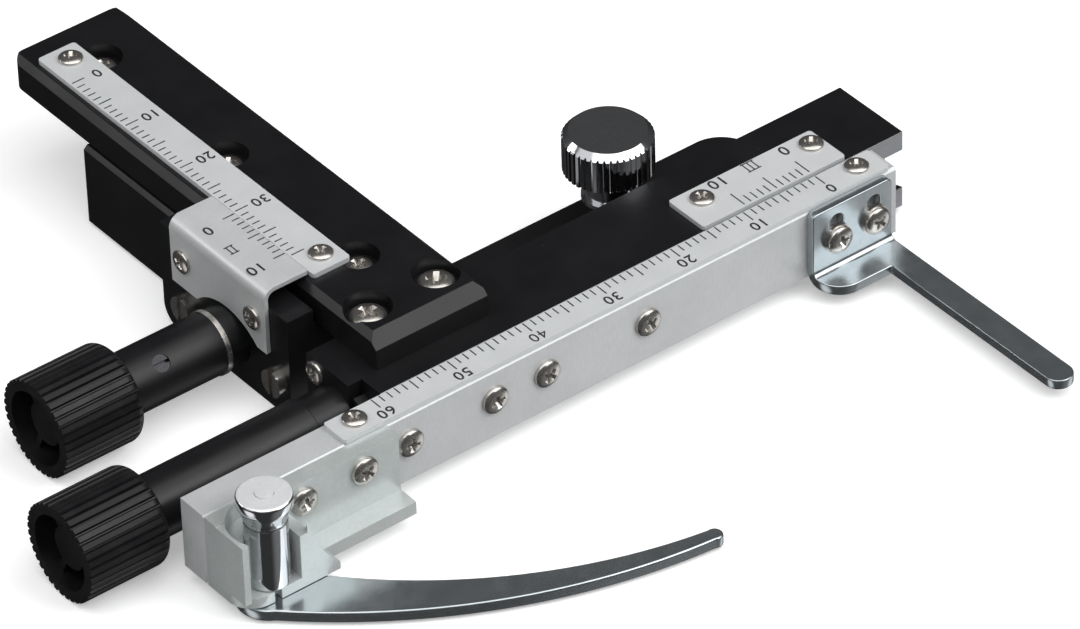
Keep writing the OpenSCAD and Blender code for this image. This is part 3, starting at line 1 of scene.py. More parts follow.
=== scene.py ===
"""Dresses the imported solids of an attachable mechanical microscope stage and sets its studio.

Positions are in the row frame: the origin is the clamp screw's axis on the seat plane, +X runs
along the specimen bar, +Y along the column bar to the rear and +Z up. Sizes are in millimetres
in the dataclasses and become metres where a mesh is made.
"""

import json
import logging
import math
from dataclasses import dataclass, field
from enum import Enum
from typing import Callable, Dict, List, Optional, Sequence, Tuple

import bpy
from mathutils import Matrix, Vector

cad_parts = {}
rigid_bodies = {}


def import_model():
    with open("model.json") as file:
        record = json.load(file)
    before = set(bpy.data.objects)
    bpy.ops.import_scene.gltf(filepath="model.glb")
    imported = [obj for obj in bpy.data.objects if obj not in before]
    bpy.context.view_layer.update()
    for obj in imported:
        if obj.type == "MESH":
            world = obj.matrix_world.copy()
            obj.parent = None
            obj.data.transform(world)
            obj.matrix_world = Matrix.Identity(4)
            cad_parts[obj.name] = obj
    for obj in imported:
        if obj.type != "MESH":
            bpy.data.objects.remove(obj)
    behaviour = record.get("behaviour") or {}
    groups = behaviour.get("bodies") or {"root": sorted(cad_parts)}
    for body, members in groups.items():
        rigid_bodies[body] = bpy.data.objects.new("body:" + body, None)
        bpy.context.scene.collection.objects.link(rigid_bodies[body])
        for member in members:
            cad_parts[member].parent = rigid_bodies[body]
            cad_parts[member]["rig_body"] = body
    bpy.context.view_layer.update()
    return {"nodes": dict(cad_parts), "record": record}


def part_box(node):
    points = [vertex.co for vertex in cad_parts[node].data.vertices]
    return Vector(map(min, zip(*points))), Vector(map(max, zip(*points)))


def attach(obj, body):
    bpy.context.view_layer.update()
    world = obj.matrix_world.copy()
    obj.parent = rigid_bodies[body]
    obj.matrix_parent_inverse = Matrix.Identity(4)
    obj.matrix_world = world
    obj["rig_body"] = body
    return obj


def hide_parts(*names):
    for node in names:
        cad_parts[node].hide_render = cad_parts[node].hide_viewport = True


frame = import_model()

LOG = logging.getLogger("stage")
MM = 0.001
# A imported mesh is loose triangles: they are merged within this distance, in millimetres, and its
# flat faces are made whole again within this angle, in degrees
WELD = 0.002
FLAT = 0.3
# The part of its normal that is upright, above which a face counts as level
LEVEL = 0.9
Pair = Tuple[float, float]
Triple = Tuple[float, float, float]
# A place or direction in space, and a direction on a plate
Point = Triple
Way = Pair
Piece = bpy.types.Object


class Axis(Enum):
    """The way a part's own +Z points once it is placed."""

    UP = "up"
    LEFT = "left"
    FRONT = "front"


# Turns that carry +Z onto each of the axes
TURNS: Dict[Axis, Matrix] = {
    Axis.UP: Matrix.Identity(4),
    Axis.LEFT: Matrix.Rotation(-math.pi / 2, 4, "Y"),
    Axis.FRONT: Matrix.Rotation(math.pi / 2, 4, "X"),
}


def body_of(node: str) -> str:
    """Returns the name of the body that a CAD node rides on."""
    return frame["nodes"][node]["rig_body"]


def slot_of(node: str) -> str:
    """Looks up the record's material slot of a CAD node.

    Args:
        node: The CAD node.

    Returns:
        Its slot.
    """
    for row in frame["record"]["subparts"]:
        if row["node"] == node:
            return row["material_slot"]
    raise KeyError(node)


def low_mm(node: str) -> Vector:
    """Returns the lowest corner of a CAD node in millimetres."""
    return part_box(node)[0] / MM


def high_mm(node: str) -> Vector:
    """Returns the highest corner of a CAD node in millimetres."""
    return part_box(node)[1] / MM


def deselect() -> None:
    """Deselects every object."""
    bpy.ops.object.select_all(action="DESELECT")


def activate(piece: Piece) -> None:
    """Selects one object alone and makes it the active one.

    Args:
        piece: The object.
    """
    deselect()
    piece.select_set(True)
    bpy.context.view_layer.objects.active = piece


def pick_faces(piece: Piece, test: Callable[[Vector, Vector], bool]) -> None:
    """Selects the faces of a piece that pass a test and leaves it in edit mode.

    Args:
        piece: The mesh to work on.
        test: Takes a face's centre in millimetres and its normal.
    """
    activate(piece)
    bpy.ops.object.mode_set(mode="EDIT")
    bpy.ops.mesh.select_mode(type="FACE")
    bpy.ops.mesh.select_all(action="DESELECT")
    bpy.ops.object.mode_set(mode="OBJECT")
    for face in piece.data.polygons:
        face.select = test(face.center / MM, face.normal)
    bpy.ops.object.mode_set(mode="EDIT")


def leave_edit() -> None:
    """Goes back to object mode."""
    bpy.ops.object.mode_set(mode="OBJECT")


def settle(piece: Piece) -> None:
    """Moves a piece's place into its mesh, so that its object sits at the origin."""
    activate(piece)
    bpy.ops.object.transform_apply(location=True, rotation=True, scale=True)


def apply_modifiers(piece: Piece) -> None:
    """Applies all modifiers of a piece in order.

    Args:
        piece: The piece.
    """
    activate(piece)
    for modifier in list(piece.modifiers):
        bpy.ops.object.modifier_apply(modifier=modifier.name)


def soften(piece: Piece, width: float, segments: int = 2, angle: float = 35.0) -> None:
    """Bevels the sharp edges of a piece and smooths its shading.

    Args:
        piece: The mesh to bevel.
        width: Bevel width in millimetres.
        segments: Steps across the bevel.
        angle: Least angle in degrees at which an edge counts as sharp.
    """
    bevel = piece.modifiers.new("edge", "BEVEL")
    bevel.width = width * MM
    bevel.segments = segments
    bevel.limit_method = "ANGLE"
    bevel.angle_limit = math.radians(angle)
    apply_modifiers(piece)
    smooth(piece)


def smooth(piece: Piece, angle: float = 32.0) -> None:
    """Smooths the shading of a piece except over edges sharper than an angle in degrees."""
    activate(piece)
    bpy.ops.object.shade_smooth_by_angle(angle=math.radians(angle))


def join(pieces: Sequence[Piece], name: str) -> Piece:
    """Joins meshes into one.

    Args:
        pieces: The meshes, of which the first takes up the others.
        name: Name of the joined piece.

    Returns:
        The joined piece.
    """
    deselect()
    for piece in pieces:
        piece.select_set(True)
    bpy.context.view_layer.objects.active = pieces[0]
    if len(pieces) > 1:
        bpy.ops.object.join()
    pieces[0].name = name
    return pieces[0]


def duplicate(piece: Piece, place: Matrix) -> Piece:
    """Copies a piece with its own mesh and puts the copy at a place.

    Args:
        piece: The piece to copy.
        place: Matrix in metres that is worked into the copy's mesh.

    Returns:
        The copy.
    """
    twin = bpy.data.objects.new(piece.name, piece.data.copy())
    twin.data.transform(place)
    bpy.context.scene.collection.objects.link(twin)
    return twin


def dress(piece: Piece, material: bpy.types.Material, node: str) -> None:
    """Gives a new piece its material and body.

    Args:
        piece: A finished mesh.
        material: Its material, unless it has materials already.
        node: The CAD node whose body it rides on and whose slot its finish stands for.
    """
    body, slot = body_of(node), slot_of(node)
    if not piece.data.materials:
        piece.data.materials.append(material)
    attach(piece, body)
    LOG.info("%s rides on %s, %d faces", piece.name, body, len(piece.data.polygons))


def edged_copy(node: str, width: float, segments: int = 2, angle: float = 35.0) -> Piece:
    """Makes a copy of a CAD node whose sharp edges are broken as a machined part's are.

    Args:
        node: The CAD node.
        width: Width of the broken edge in millimetres.
        segments: Steps across the edge.
        angle: Least angle in degrees at which an edge counts as sharp.

    Returns:
        The copy, which stands for the node.
    """
    copy = bpy.data.objects.new(f"{node}_edged", frame["nodes"][node].data.copy())
    bpy.context.scene.collection.objects.link(copy)
    copy.data.materials.clear()
    activate(copy)
    bpy.ops.mesh.customdata_custom_splitnormals_clear()
    bpy.ops.object.mode_set(mode="EDIT")
    bpy.ops.mesh.select_all(action="SELECT")
    bpy.ops.mesh.remove_doubles(threshold=WELD * MM)
    bpy.ops.mesh.dissolve_limited(angle_limit=math.radians(FLAT))
    leave_edit()
    soften(copy, width, segments, angle)
    # The wide faces keep their own normals, so that they stay flat to the eye
    weigh = copy.modifiers.new("flat_faces", "WEIGHTED_NORMAL")
    weigh.keep_sharp = True
    apply_modifiers(copy)
    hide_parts(node)
    return copy


def srgb(code: str) -> Tuple[float, float, float, float]:
    """Turns an sRGB hex colour such as "#1c1c1e" into a linear colour with full alpha.

    Args:
        code: The hex colour.

    Returns:
        Its linear red, green and blue, and an alpha of 1.
    """
    parts = [int(code[i : i + 2], 16) / 255 for i in (1, 3, 5)]
    linear = [c / 12.92 if c <= 0.04045 else ((c + 0.055) / 1.055) ** 2.4 for c in parts]
    return (linear[0], linear[1], linear[2], 1.0)


def add_node(
    tree: bpy.types.NodeTree, kind: str, inputs: Optional[Dict] = None, **settings
) -> bpy.types.Node:
    """Adds a shader node.

    Args:
        tree: The node tree.
        kind: The node's type.
        inputs: Input name or index to a constant or to a socket that is linked to it.
        **settings: The node's own settings.

    Returns:
        The node.
    """
    node = tree.nodes.new(kind)
    for key, value in settings.items():
        setattr(node, key, value)
    for key, value in (inputs or {}).items():
        if isinstance(value, bpy.types.NodeSocket):
            tree.links.new(value, node.inputs[key])
        else:
            node.inputs[key].default_value = value
    return node


# Where most of a noise's values lie
EVEN: Pair = (0.3, 0.7)


def scale_of(width: float) -> float:
    """Returns the texture scale at which a pattern's cells are so many millimetres wide."""
    return 1 / (width * MM)


class Surface:
    """A material in the making: its empty node tree and the coordinates its patterns read."""

    def __init__(self, name: str) -> None:
        """Starts an empty material.

        Args:
            name: Its name.
        """
        self.material = bpy.data.materials.new(name)
        self.material.use_nodes = True
        self.tree = self.material.node_tree
        self.tree.nodes.clear()
        self.coords = add_node(self.tree, "ShaderNodeTexCoord").outputs["Object"]

    def cloud(self, width: float, detail: float) -> Dict:
        """Returns the inputs of a soft irregular pattern of a width in millimetres."""
        return {"Vector": self.coords, "Scale": scale_of(width), "Detail": detail, "Roughness": 0.6}

    def specks(self, spacing: float, radius: float, share: float) -> bpy.types.NodeSocket:
        """Draws sparse round specks.

        Args:
            spacing: Mean distance of the cells in millimetres.
            radius: Radius of a speck in millimetres.
            share: Share of the cells that hold a speck.

        Returns:
            A value of 1 on the specks and 0 between them.
        """
        tree = self.tree
        grid = {"Vector": self.coords, "Scale": scale_of(spacing)}
        cells = add_node(tree, "ShaderNodeTexVoronoi", grid)
        rim = span(cells.outputs["Distance"], 0.5 * radius / spacing, radius / spacing, 1.0, 0.0)
        spot = add_node(tree, "ShaderNodeMapRange", rim).outputs["Result"]
        draw = add_node(tree, "ShaderNodeSeparateColor", {"Color": cells.outputs["Color"]}).outputs["Red"]
        chosen = add_node(tree, "ShaderNodeMath", {0: draw, 1: share}, operation="LESS_THAN").outputs[0]
        return add_node(tree, "ShaderNodeMath", {0: spot, 1: chosen}, operation="MULTIPLY").outputs[0]

    def finish(self, inputs: Dict) -> bpy.types.Material:
        """Closes the material with a principled shader that has the given inputs.

        Args:
            inputs: The shader's inputs by name, constants or sockets.

        Returns:
            The finished material.
        """
        shader = add_node(self.tree, "ShaderNodeBsdfPrincipled", inputs)
        add_node(self.tree, "ShaderNodeOutputMaterial", {"Surface": shader.outputs["BSDF"]})
        return self.material


def span(value: bpy.types.NodeSocket, low: float, high: float, out_low: float, out_high: float) -> Dict:
    """Returns the inputs that map a value from one range onto another, held at its ends."""
    return {"Value": value, "From Min": low, "From Max": high, "To Min": out_low, "To Max": out_high}


@dataclass(frozen=True)
class BakedEnamel:
    """Black stove enamel on machined aluminium: satin, faintly uneven, with stray dust on it.

    Widths are in millimetres. Coarse and fine dust each give their spacing, radius and share.
    """

    name: str = "black_stove_enamel"
    base: str = "#121214"
    worn: str = "#18181a"
    dust: str = "#7c7c7a"
    roughness: float = 0.34
    drift: Pair = (-0.03, 0.05)
    specular: float = 0.34
    ior: float = 1.5
    patch_w: float = 7.0
    peel_w: float = 0.12
    peel_depth: float = 0.006
    coarse: Triple = (2.2, 0.075, 0.22)
    fine: Triple = (0.9, 0.035, 0.12)

    def build(self) -> bpy.types.Material:
        """Builds the enamel: rubbed patches, orange peel and two sizes of dust.

        Returns:
            The material.
        """
        surface = Surface(self.name)
        tree = surface.tree
        # Slow patches, where the enamel was rubbed, change its sheen more than its colour
        patch = add_node(tree, "ShaderNodeTexNoise", surface.cloud(self.patch_w, 4.0)).outputs["Fac"]
        peel = add_node(tree, "ShaderNodeTexNoise", surface.cloud(self.peel_w, 2.0)).outputs["Fac"]
        # Coarse and fine dust lie together, half as strong as their own colour and matt
        layers = {0: surface.specks(*self.coarse), 1: surface.specks(*self.fine)}
        specks = add_node(tree, "ShaderNodeMath", layers, operation="MAXIMUM").outputs[0]
        faint = add_node(tree, "ShaderNodeMath", {0: specks, 1: 0.5}, operation="MULTIPLY").outputs[0]
        matt = add_node(tree, "ShaderNodeMath", {0: specks, 1: 0.8}, operation="MULTIPLY").outputs[0]
        wear = add_node(tree, "ShaderNodeMapRange", span(patch, 0.35, 0.75, 0.0, 1.0)).outputs["Result"]
        tones = {"Factor": wear, 6: srgb(self.base), 7: srgb(self.worn)}
        black = add_node(tree, "ShaderNodeMix", tones, data_type="RGBA").outputs[2]
        dusted = {"Factor": faint, 6: black, 7: srgb(self.dust)}
        gloss = span(patch, *EVEN, *(self.roughness + change for change in self.drift))
        sheen = add_node(tree, "ShaderNodeMapRange", gloss).outputs["Result"]
        colour = add_node(tree, "ShaderNodeMix", dusted, data_type="RGBA").outputs[2]
        rough = add_node(tree, "ShaderNodeMath", {0: sheen, 1: matt}, operation="MAXIMUM").outputs[0]
        bump = add_node(tree, "ShaderNodeBump", {"Height": peel, "Distance": self.peel_depth * MM})
        return surface.finish(
            {
                "Base Color": colour,
                "Roughness": rough,
                "Specular IOR Level": self.specular,
                "IOR": self.ior,
                "Normal": bump.outputs["Normal"],
            }
        )


@dataclass(frozen=True)
class MouldedAbs:
    """Black ABS, injection moulded: a fine matt texture that greys where the ribs rub.

    Widths are in millimetres. The specks give their spacing, radius and share.
    """

    name: str = "moulded_black_abs"
    base: str = "#121214"
    rubbed: str = "#1b1b1d"
    dust: str = "#8c8a86"
    roughness: float = 0.4
    drift: Pair = (-0.05, 0.08)
    specular: float = 0.28
    ior: float = 1.54
    patch_w: float = 3.0
    texture_w: float = 0.09
    texture_depth: float = 0.008
    specks: Triple = (1.6, 0.07, 0.2)

    def build(self) -> bpy.types.Material:
        """Builds the plastic: its moulded texture, rubbed patches and dust.

        Returns:
            The material.
        """
        surface = Surface(self.name)
        tree = surface.tree
        texture = add_node(tree, "ShaderNodeTexNoise", surface.cloud(self.texture_w, 2.0)).outputs["Fac"]
        patch = add_node(tree, "ShaderNodeTexNoise", surface.cloud(self.patch_w, 3.0)).outputs["Fac"]
        half = {0: surface.specks(*self.specks), 1: 0.5}
        faint = add_node(tree, "ShaderNodeMath", half, operation="MULTIPLY").outputs[0]
        rub = add_node(tree, "ShaderNodeMapRange", span(patch, 0.4, 0.8, 0.0, 1.0)).outputs["Result"]
        tones = {"Factor": rub, 6: srgb(self.base), 7: srgb(self.rubbed)}
        black = add_node(tree, "ShaderNodeMix", tones, data_type="RGBA").outputs[2]
        dusted = {"Factor": faint, 6: black, 7: srgb(self.dust)}
        gloss = span(patch, *EVEN, *(self.roughness + change for change in self.drift))
        colour = add_node(tree, "ShaderNodeMix", dusted, data_type="RGBA").outputs[2]
        rough = add_node(tree, "ShaderNodeMapRange", gloss).outputs["Result"]
        grain = {"Height": texture, "Distance": self.texture_depth * MM}
        return surface.finish(
            {
                "Base Color": colour,
                "Roughness": rough,
                "Specular IOR Level": self.specular,
                "IOR": self.ior,
                "Normal": add_node(tree, "ShaderNodeBump", grain).outputs["Normal"],
            }
        )


@dataclass(frozen=True)
class GrainedMetal:
    """Bare or plated metal with a directional grain and slow cloudy changes of its gloss.

    The grain gives the width of its lines along each axis in millimetres, and the depth and the
    cloud are in millimetres too.
    """

    name: str
    base: str
    shade: str
    roughness: float
    spread: float
    grain: Triple
    grain_depth: float
    cloud: float = 4.0
    metallic: float = 1.0

    def build(self) -> bpy.types.Material:
        """Builds the metal: its grain and its cloudy gloss.

        Returns:
            The material.
        """
        surface = Surface(self.name)
        tree = surface.tree
        # The grain is stretched along the way in which the surface was worked
        worked = {"Vector": surface.coords, "Scale": tuple(1.0 / MM / width for width in self.grain)}
        stretched = add_node(tree, "ShaderNodeMapping", worked).outputs["Vector"]
        strokes = {"Vector": stretched, "Scale": 1.0, "Detail": 3.0, "Roughness": 0.6}
        lines = add_node(tree, "ShaderNodeTexNoise", strokes).outputs["Fac"]
        cloud = add_node(tree, "ShaderNodeTexNoise", surface.cloud(self.cloud, 4.0)).outputs["Fac"]
        both = add_node(tree, "ShaderNodeMath", {0: lines, 1: cloud}, operation="MULTIPLY").outputs[0]
        tone = add_node(tree, "ShaderNodeMapRange", span(both, 0.12, 0.42, 0.0, 1.0)).outputs["Result"]
        tones = {"Factor": tone, 6: srgb(self.shade), 7: srgb(self.base)}
        gloss = span(cloud, *EVEN, self.roughness - self.spread, self.roughness + self.spread)
        colour = add_node(tree, "ShaderNodeMix", tones, data_type="RGBA").outputs[2]
        rough = add_node(tree, "ShaderNodeMapRange", gloss).outputs["Result"]
        bump = add_node(tree, "ShaderNodeBump", {"Height": lines, "Distance": self.grain_depth * MM})
        return surface.finish(
            {
                "Base Color": colour,
                "Metallic": self.metallic,
                "Roughness": rough,
                "Normal": bump.outputs["Normal"],
            }
        )


@dataclass(frozen=True)
class FilledEngraving:
    """Black enamel rubbed into the engraved lines: flat, a little greyed at its edges."""

    name: str = "black_engraving_fill"
    base: str = "#2a2b2d"
    worn: str = "#4c4d4f"
    roughness: float = 0.6
    specular: float = 0.2

    def build(self) -> bpy.types.Material:
        """Builds the enamel of the lines, worn in places.

        Returns:
            The material.
        """
        surface = Surface(self.name)
        tree = surface.tree
        wear = add_node(tree, "ShaderNodeTexNoise", surface.cloud(0.35, 2.0)).outputs["Fac"]
        worn = add_node(tree, "ShaderNodeMapRange", span(wear, 0.45, 0.8, 0.0, 1.0)).outputs["Result"]
        tones = {"Factor": worn, 6: srgb(self.base), 7: srgb(self.worn)}
        colour = add_node(tree, "ShaderNodeMix", tones, data_type="RGBA").outputs[2]
        return surface.finish(
            {"Base Color": colour, "Roughness": self.roughness, "Specular IOR Level": self.specular}
        )


# Every metal as the real piece is made: first those of the record's slots
SLOT_METALS: Dict[str, GrainedMetal] = {
    # Chrome on the clamp screw: a clear mirror with fine turning marks
    "chrome": GrainedMetal(
        name="polished_chrome",
        base="#dcdddf",
        shade="#d0d1d4",
        roughness=0.1,
        spread=0.03,
        grain=(0.6, 0.6, 0.05),
        grain_depth=0.0003,
    ),
    # Nickel plated screws: bright and slightly warm
    "nickel_screw": GrainedMetal(
        name="bright_nickel",
        base="#cdc9c4",
        shade="#bcb8b2",
        roughness=0.24,
        spread=0.04,
        grain=(0.3, 0.3, 0.3),
        grain_depth=0.001,
        cloud=0.8,
        metallic=0.94,
    ),
    # Scale plates are rolled sheet with a matt silver plating: an even pale grey
    "scale_plate": GrainedMetal(
        name="matt_silver_plate",
        base="#d8dadb",
        shade="#d1d3d4",
        roughness=0.5,
        spread=0.03,
        grain=(0.4, 0.08, 0.2),
        grain_depth=0.0006,
        metallic=0.25,
    ),
    # The vernier bracket is bent sheet with the same plating, a little glossier where it bends
    "bracket_steel": GrainedMetal(
        name="satin_silver_sheet",
        base="#e0e2e3",
        shade="#d8dadb",
        roughness=0.42,
        spread=0.03,
        grain=(0.3, 0.3, 0.3),
        grain_depth=0.0006,
        metallic=0.4,
    ),
    # The specimen bar is milled and blasted: an even grey with a fine upright grain
    "bar_aluminium": GrainedMetal(
        name="blasted_aluminium",
        base="#d3d5d6",
        shade="#c7c9ca",
        roughness=0.42,
        spread=0.03,
        grain=(0.16, 0.5, 0.9),
        grain_depth=0.003,
        cloud=6.0,
        metallic=0.3,
    ),
    # The clamp block is a zinc die casting with a satin plating that leans a little to green
    "cast_block": GrainedMetal(
        name="plated_zinc_casting",
        base="#d0d5d4",
        shade="#c4cac9",
        roughness=0.34,
        spread=0.05,
        grain=(0.4, 0.4, 0.4),
        grain_depth=0.004,
        cloud=3.0,
        metallic=0.42,
    ),
    # The fingers are zinc plated steel strip, bright with a faint blue cast
    "bright_finger": GrainedMetal(
        name="blue_zinc_plate",
        base="#bdc3c6",
        shade="#b2b9bc",
        roughness=0.22,
        spread=0.05,
        grain=(1.5, 1.5, 1.5),
        grain_depth=0.0006,
        cloud=2.5,
        metallic=0.92,
    ),
    # Turned steel of shafts and rail, with fine rings round the turned pieces
    "steel": GrainedMetal(
        name="turned_steel",
        base="#a9abae",
        shade="#8d8f93",
        roughness=0.3,
        spread=0.06,
        grain=(0.06, 0.6, 0.6),
        grain_depth=0.003,
    ),
    # Free cutting brass, machined and untreated
    "brass": GrainedMetal(
        name="machined_brass",
        base="#c9a45a",
        shade="#b08c45",
        roughness=0.3,
        spread=0.06,
        grain=(0.5, 0.06, 0.5),
        grain_depth=0.003,
    ),
}
# The pivot's barrel has the same chrome over a satin turned surface, so its cap stays pale
SATIN_CHROME = GrainedMetal(
    name="satin_chrome",
    base="#f0f1f2",
    shade="#e6e7e9",
    roughness=0.3,
    spread=0.04,
    grain=(0.5, 0.5, 0.06),
    grain_depth=0.0006,
    metallic=0.3,
)
# The bare milled face of the guide, brighter than its enamel
MILLED_ALUMINIUM = GrainedMetal(
    name="milled_bare_aluminium",
    base="#c2c4c6",
    shade="#b0b2b5",
    roughness=0.34,
    spread=0.05,
    grain=(2.0, 0.2, 0.12),
    grain_depth=0.004,
)
# The grub screw is blackened steel, which only shines at its rim
BLACKENED_STEEL = GrainedMetal(
    name="blackened_steel",
    base="#3a3a3c",
    shade="#2a2a2c",
    roughness=0.3,
    spread=0.05,
    grain=(0.2, 0.2, 0.2),
    grain_depth=0.003,
    cloud=0.6,
)


class Finishes:
    """All materials of the stage, made once."""

    def __init__(self) -> None:
        """Builds the material of every slot, and those of pieces that differ from their slot."""
        self.enamel = BakedEnamel().build()
        self.fill = FilledEngraving().build()
        self.satin_chrome = SATIN_CHROME.build()
        self.bare = MILLED_ALUMINIUM.build()
        self.by_slot = {"black_anodised": self.enamel, "knob_plastic": MouldedAbs().build()}
        for slot, metal in SLOT_METALS.items():
            self.by_slot[slot] = metal.build()
        self.by_node = {"pivot_pin": self.satin_chrome, "y_grub_screw": BLACKENED_STEEL.build()}

    def dress_nodes(self) -> None:
        """Gives every CAD node the material of its slot."""
        for node, piece in frame["nodes"].items():
            for slot in piece.material_slots:
                slot.material = self.by_node.get(node, self.by_slot[slot_of(node)])


@dataclass
class MachinedBodies:
    """The bars, blocks and plates, each with its edges broken."""

    widths: Dict[str, float] = field(
        default_factory=lambda: {
            "base_block": 0.2,
            "mounting_arm": 0.3,
            "bearing_flange": 0.25,
            "y_bar": 0.12,
            "x_guide": 0.12,
            "x_end_plate": 0.2,
            "specimen_bar": 0.1,
            "y_scale": 0.08,
            "x_scale": 0.08,
            "x_vernier_plate": 0.08,
            "y_vernier_bracket": 0.12,
        }
    )
    front_skin: float = 0.06

    def build(self, finishes: Finishes) -> None:
        """Makes an edged copy of each and lays bare the guide's milled front face.

        Args:
            finishes: The materials of the stage.
        """
        for node, width in self.widths.items():
            piece = edged_copy(node, width)
            if node == "x_guide":
                self.bare_front(piece, finishes)
            dress(piece, finishes.by_slot[slot_of(node)], node)

    def bare_front(self, piece: Piece, finishes: Finishes) -> None:
        """Gives the faces in the plane of the guide's front the bare metal.

        Args:
            piece: The guide's edged copy.
            finishes: The materials of the stage.
        """
        piece.data.materials.append(finishes.enamel)
        piece.data.materials.append(finishes.bare)
        front = low_mm("x_guide").y
        for face in piece.data.polygons:
            if face.center.y / MM < front + self.front_skin:
                face.material_index = 1


@dataclass
class Fingers:
    """The sprung arm, the fixed finger and the cast block, with rounded edges."""

    strip_edge: float = 0.45
    plate_edge: float = 0.42
    casting_edge: float = 0.22
    steps: int = 3

    def build(self, finishes: Finishes) -> None:
        """Makes the edged copies of the three pieces.

        Args:
            finishes: The materials of the stage.
        """
        for node, width in (
            ("clamp_arm", self.strip_edge),
            ("fixed_finger", self.plate_edge),
            ("clamp_block", self.casting_edge),
        ):
            piece = edged_copy(node, width, self.steps)
            dress(piece, finishes.by_slot[slot_of(node)], node)


@dataclass
class Barrel:
    """The chrome barrel over the pivot, whose cap is satin on top and polished round its side."""

    edge: float = 0.06
    sharp: float = 50.0
    cap_share: float = 1.5

    def build(self, finishes: Finishes) -> None:
        """Makes the edged copy and gives its upward faces the satin finish.

        Args:
            finishes: The materials of the stage.
        """
        piece = edged_copy("pivot_barrel", self.edge, angle=self.sharp)
        chrome = finishes.by_slot[slot_of("pivot_barrel")]
        piece.data.materials.append(chrome)
        piece.data.materials.append(finishes.satin_chrome)
        top = high_mm("pivot_barrel").z
        for face in piece.data.polygons:
            if face.center.z / MM > top - self.edge * self.cap_share:
                face.material_index = 1
        dress(piece, chrome, "pivot_barrel")


@dataclass
class CrossHeadScrew:
    """A pan-head screw with a cross recess, modelled once for each head size."""

    name: str
    head_d: float
    head_h: float
    shank_d: float
    shank_len: float
    dome_steps: int = 6
    edge_share: float = 0.5
    wing_share: float = 0.62
    wing_w_share: float = 0.17
    recess_share: float = 0.62
    recess_taper: Triple = (0.45, 0.6, 1)
    recess_clear: float = 0.1
    crown_flat: float = 0.6
    bevel_share: float = 0.018
    bevel_sharp: float = 28.0
    head_sides: int = 48
    shank_sides: int = 24

    def head(self) -> Piece:
        """Shapes the domed head with its seat on z = 0.

        Returns:
            The head, without its recess.
        """
        edge_h = self.head_h * self.edge_share
        deselect()
        bpy.ops.mesh.primitive_cylinder_add(
            vertices=self.head_sides,
            radius=self.head_d / 2 * MM,
            depth=edge_h * MM,
            location=(0, 0, edge_h / 2 * MM),
        )
        piece = bpy.context.object
        pick_faces(piece, lambda centre, normal: normal.z > LEVEL)
        rise = self.head_h - edge_h
        # The dome follows an ellipse and stops short of its pole, so that its crown stays flat
        whole = self.dome_steps + self.crown_flat
        for step in range(1, self.dome_steps + 1):
            start = math.radians(90 * (step - 1) / whole)
            end = math.radians(90 * step / whole)
            shrink = (math.cos(start) - math.cos(end)) * self.head_d / 2
            lift = (math.sin(end) - math.sin(start)) * rise
            bpy.ops.mesh.inset(thickness=shrink * MM, depth=lift * MM)
        leave_edit()
        return piece

    def recess(self, turn: float) -> Piece:
        """Shapes one tapered wing of the cross.

        Args:
            turn: How far the wing is turned about the axis, in degrees.

        Returns:
            A solid to cut from the head.
        """
        deselect()
        depth = self.head_h * self.recess_share
        length = self.head_d * self.wing_share
        width = self.head_d * self.wing_w_share
        middle = self.head_h - depth / 2 + self.recess_clear / 2
        bpy.ops.mesh.primitive_cube_add(size=1, location=(0, 0, middle * MM))
        wing = bpy.context.object
        wing.scale = (length * MM, width * MM, (depth + self.recess_clear) * MM)
        settle(wing)
        pick_faces(wing, lambda centre, normal: normal.z < -LEVEL)
        floor = (0, 0, (self.head_h - depth) * MM)
        bpy.ops.transform.resize(value=self.recess_taper, center_override=floor)
        leave_edit()
        wing.data.transform(Matrix.Rotation(math.radians(turn), 4, "Z"))
        return wing

    def build(self) -> Piece:
        """Makes the whole screw on the z axis, its head above z = 0.

        Returns:
            The screw as one mesh.
        """
        piece = self.head()
        for turn in (0, 90):
            wing = self.recess(turn)
            cut = piece.modifiers.new("wing", "BOOLEAN")
            cut.object = wing
            cut.operation = "DIFFERENCE"
            cut.solver = "EXACT"
            apply_modifiers(piece)
            bpy.data.objects.remove(wing)
        soften(piece, self.head_d * self.bevel_share, angle=self.bevel_sharp)
        deselect()
        bpy.ops.mesh.primitive_cylinder_add(
            vertices=self.shank_sides,
            radius=self.shank_d / 2 * MM,
            depth=self.shank_len * MM,
            location=(0, 0, -self.shank_len / 2 * MM),
        )
        shank = bpy.context.object
        settle(shank)
        smooth(shank)
        return join([piece, shank], self.name)


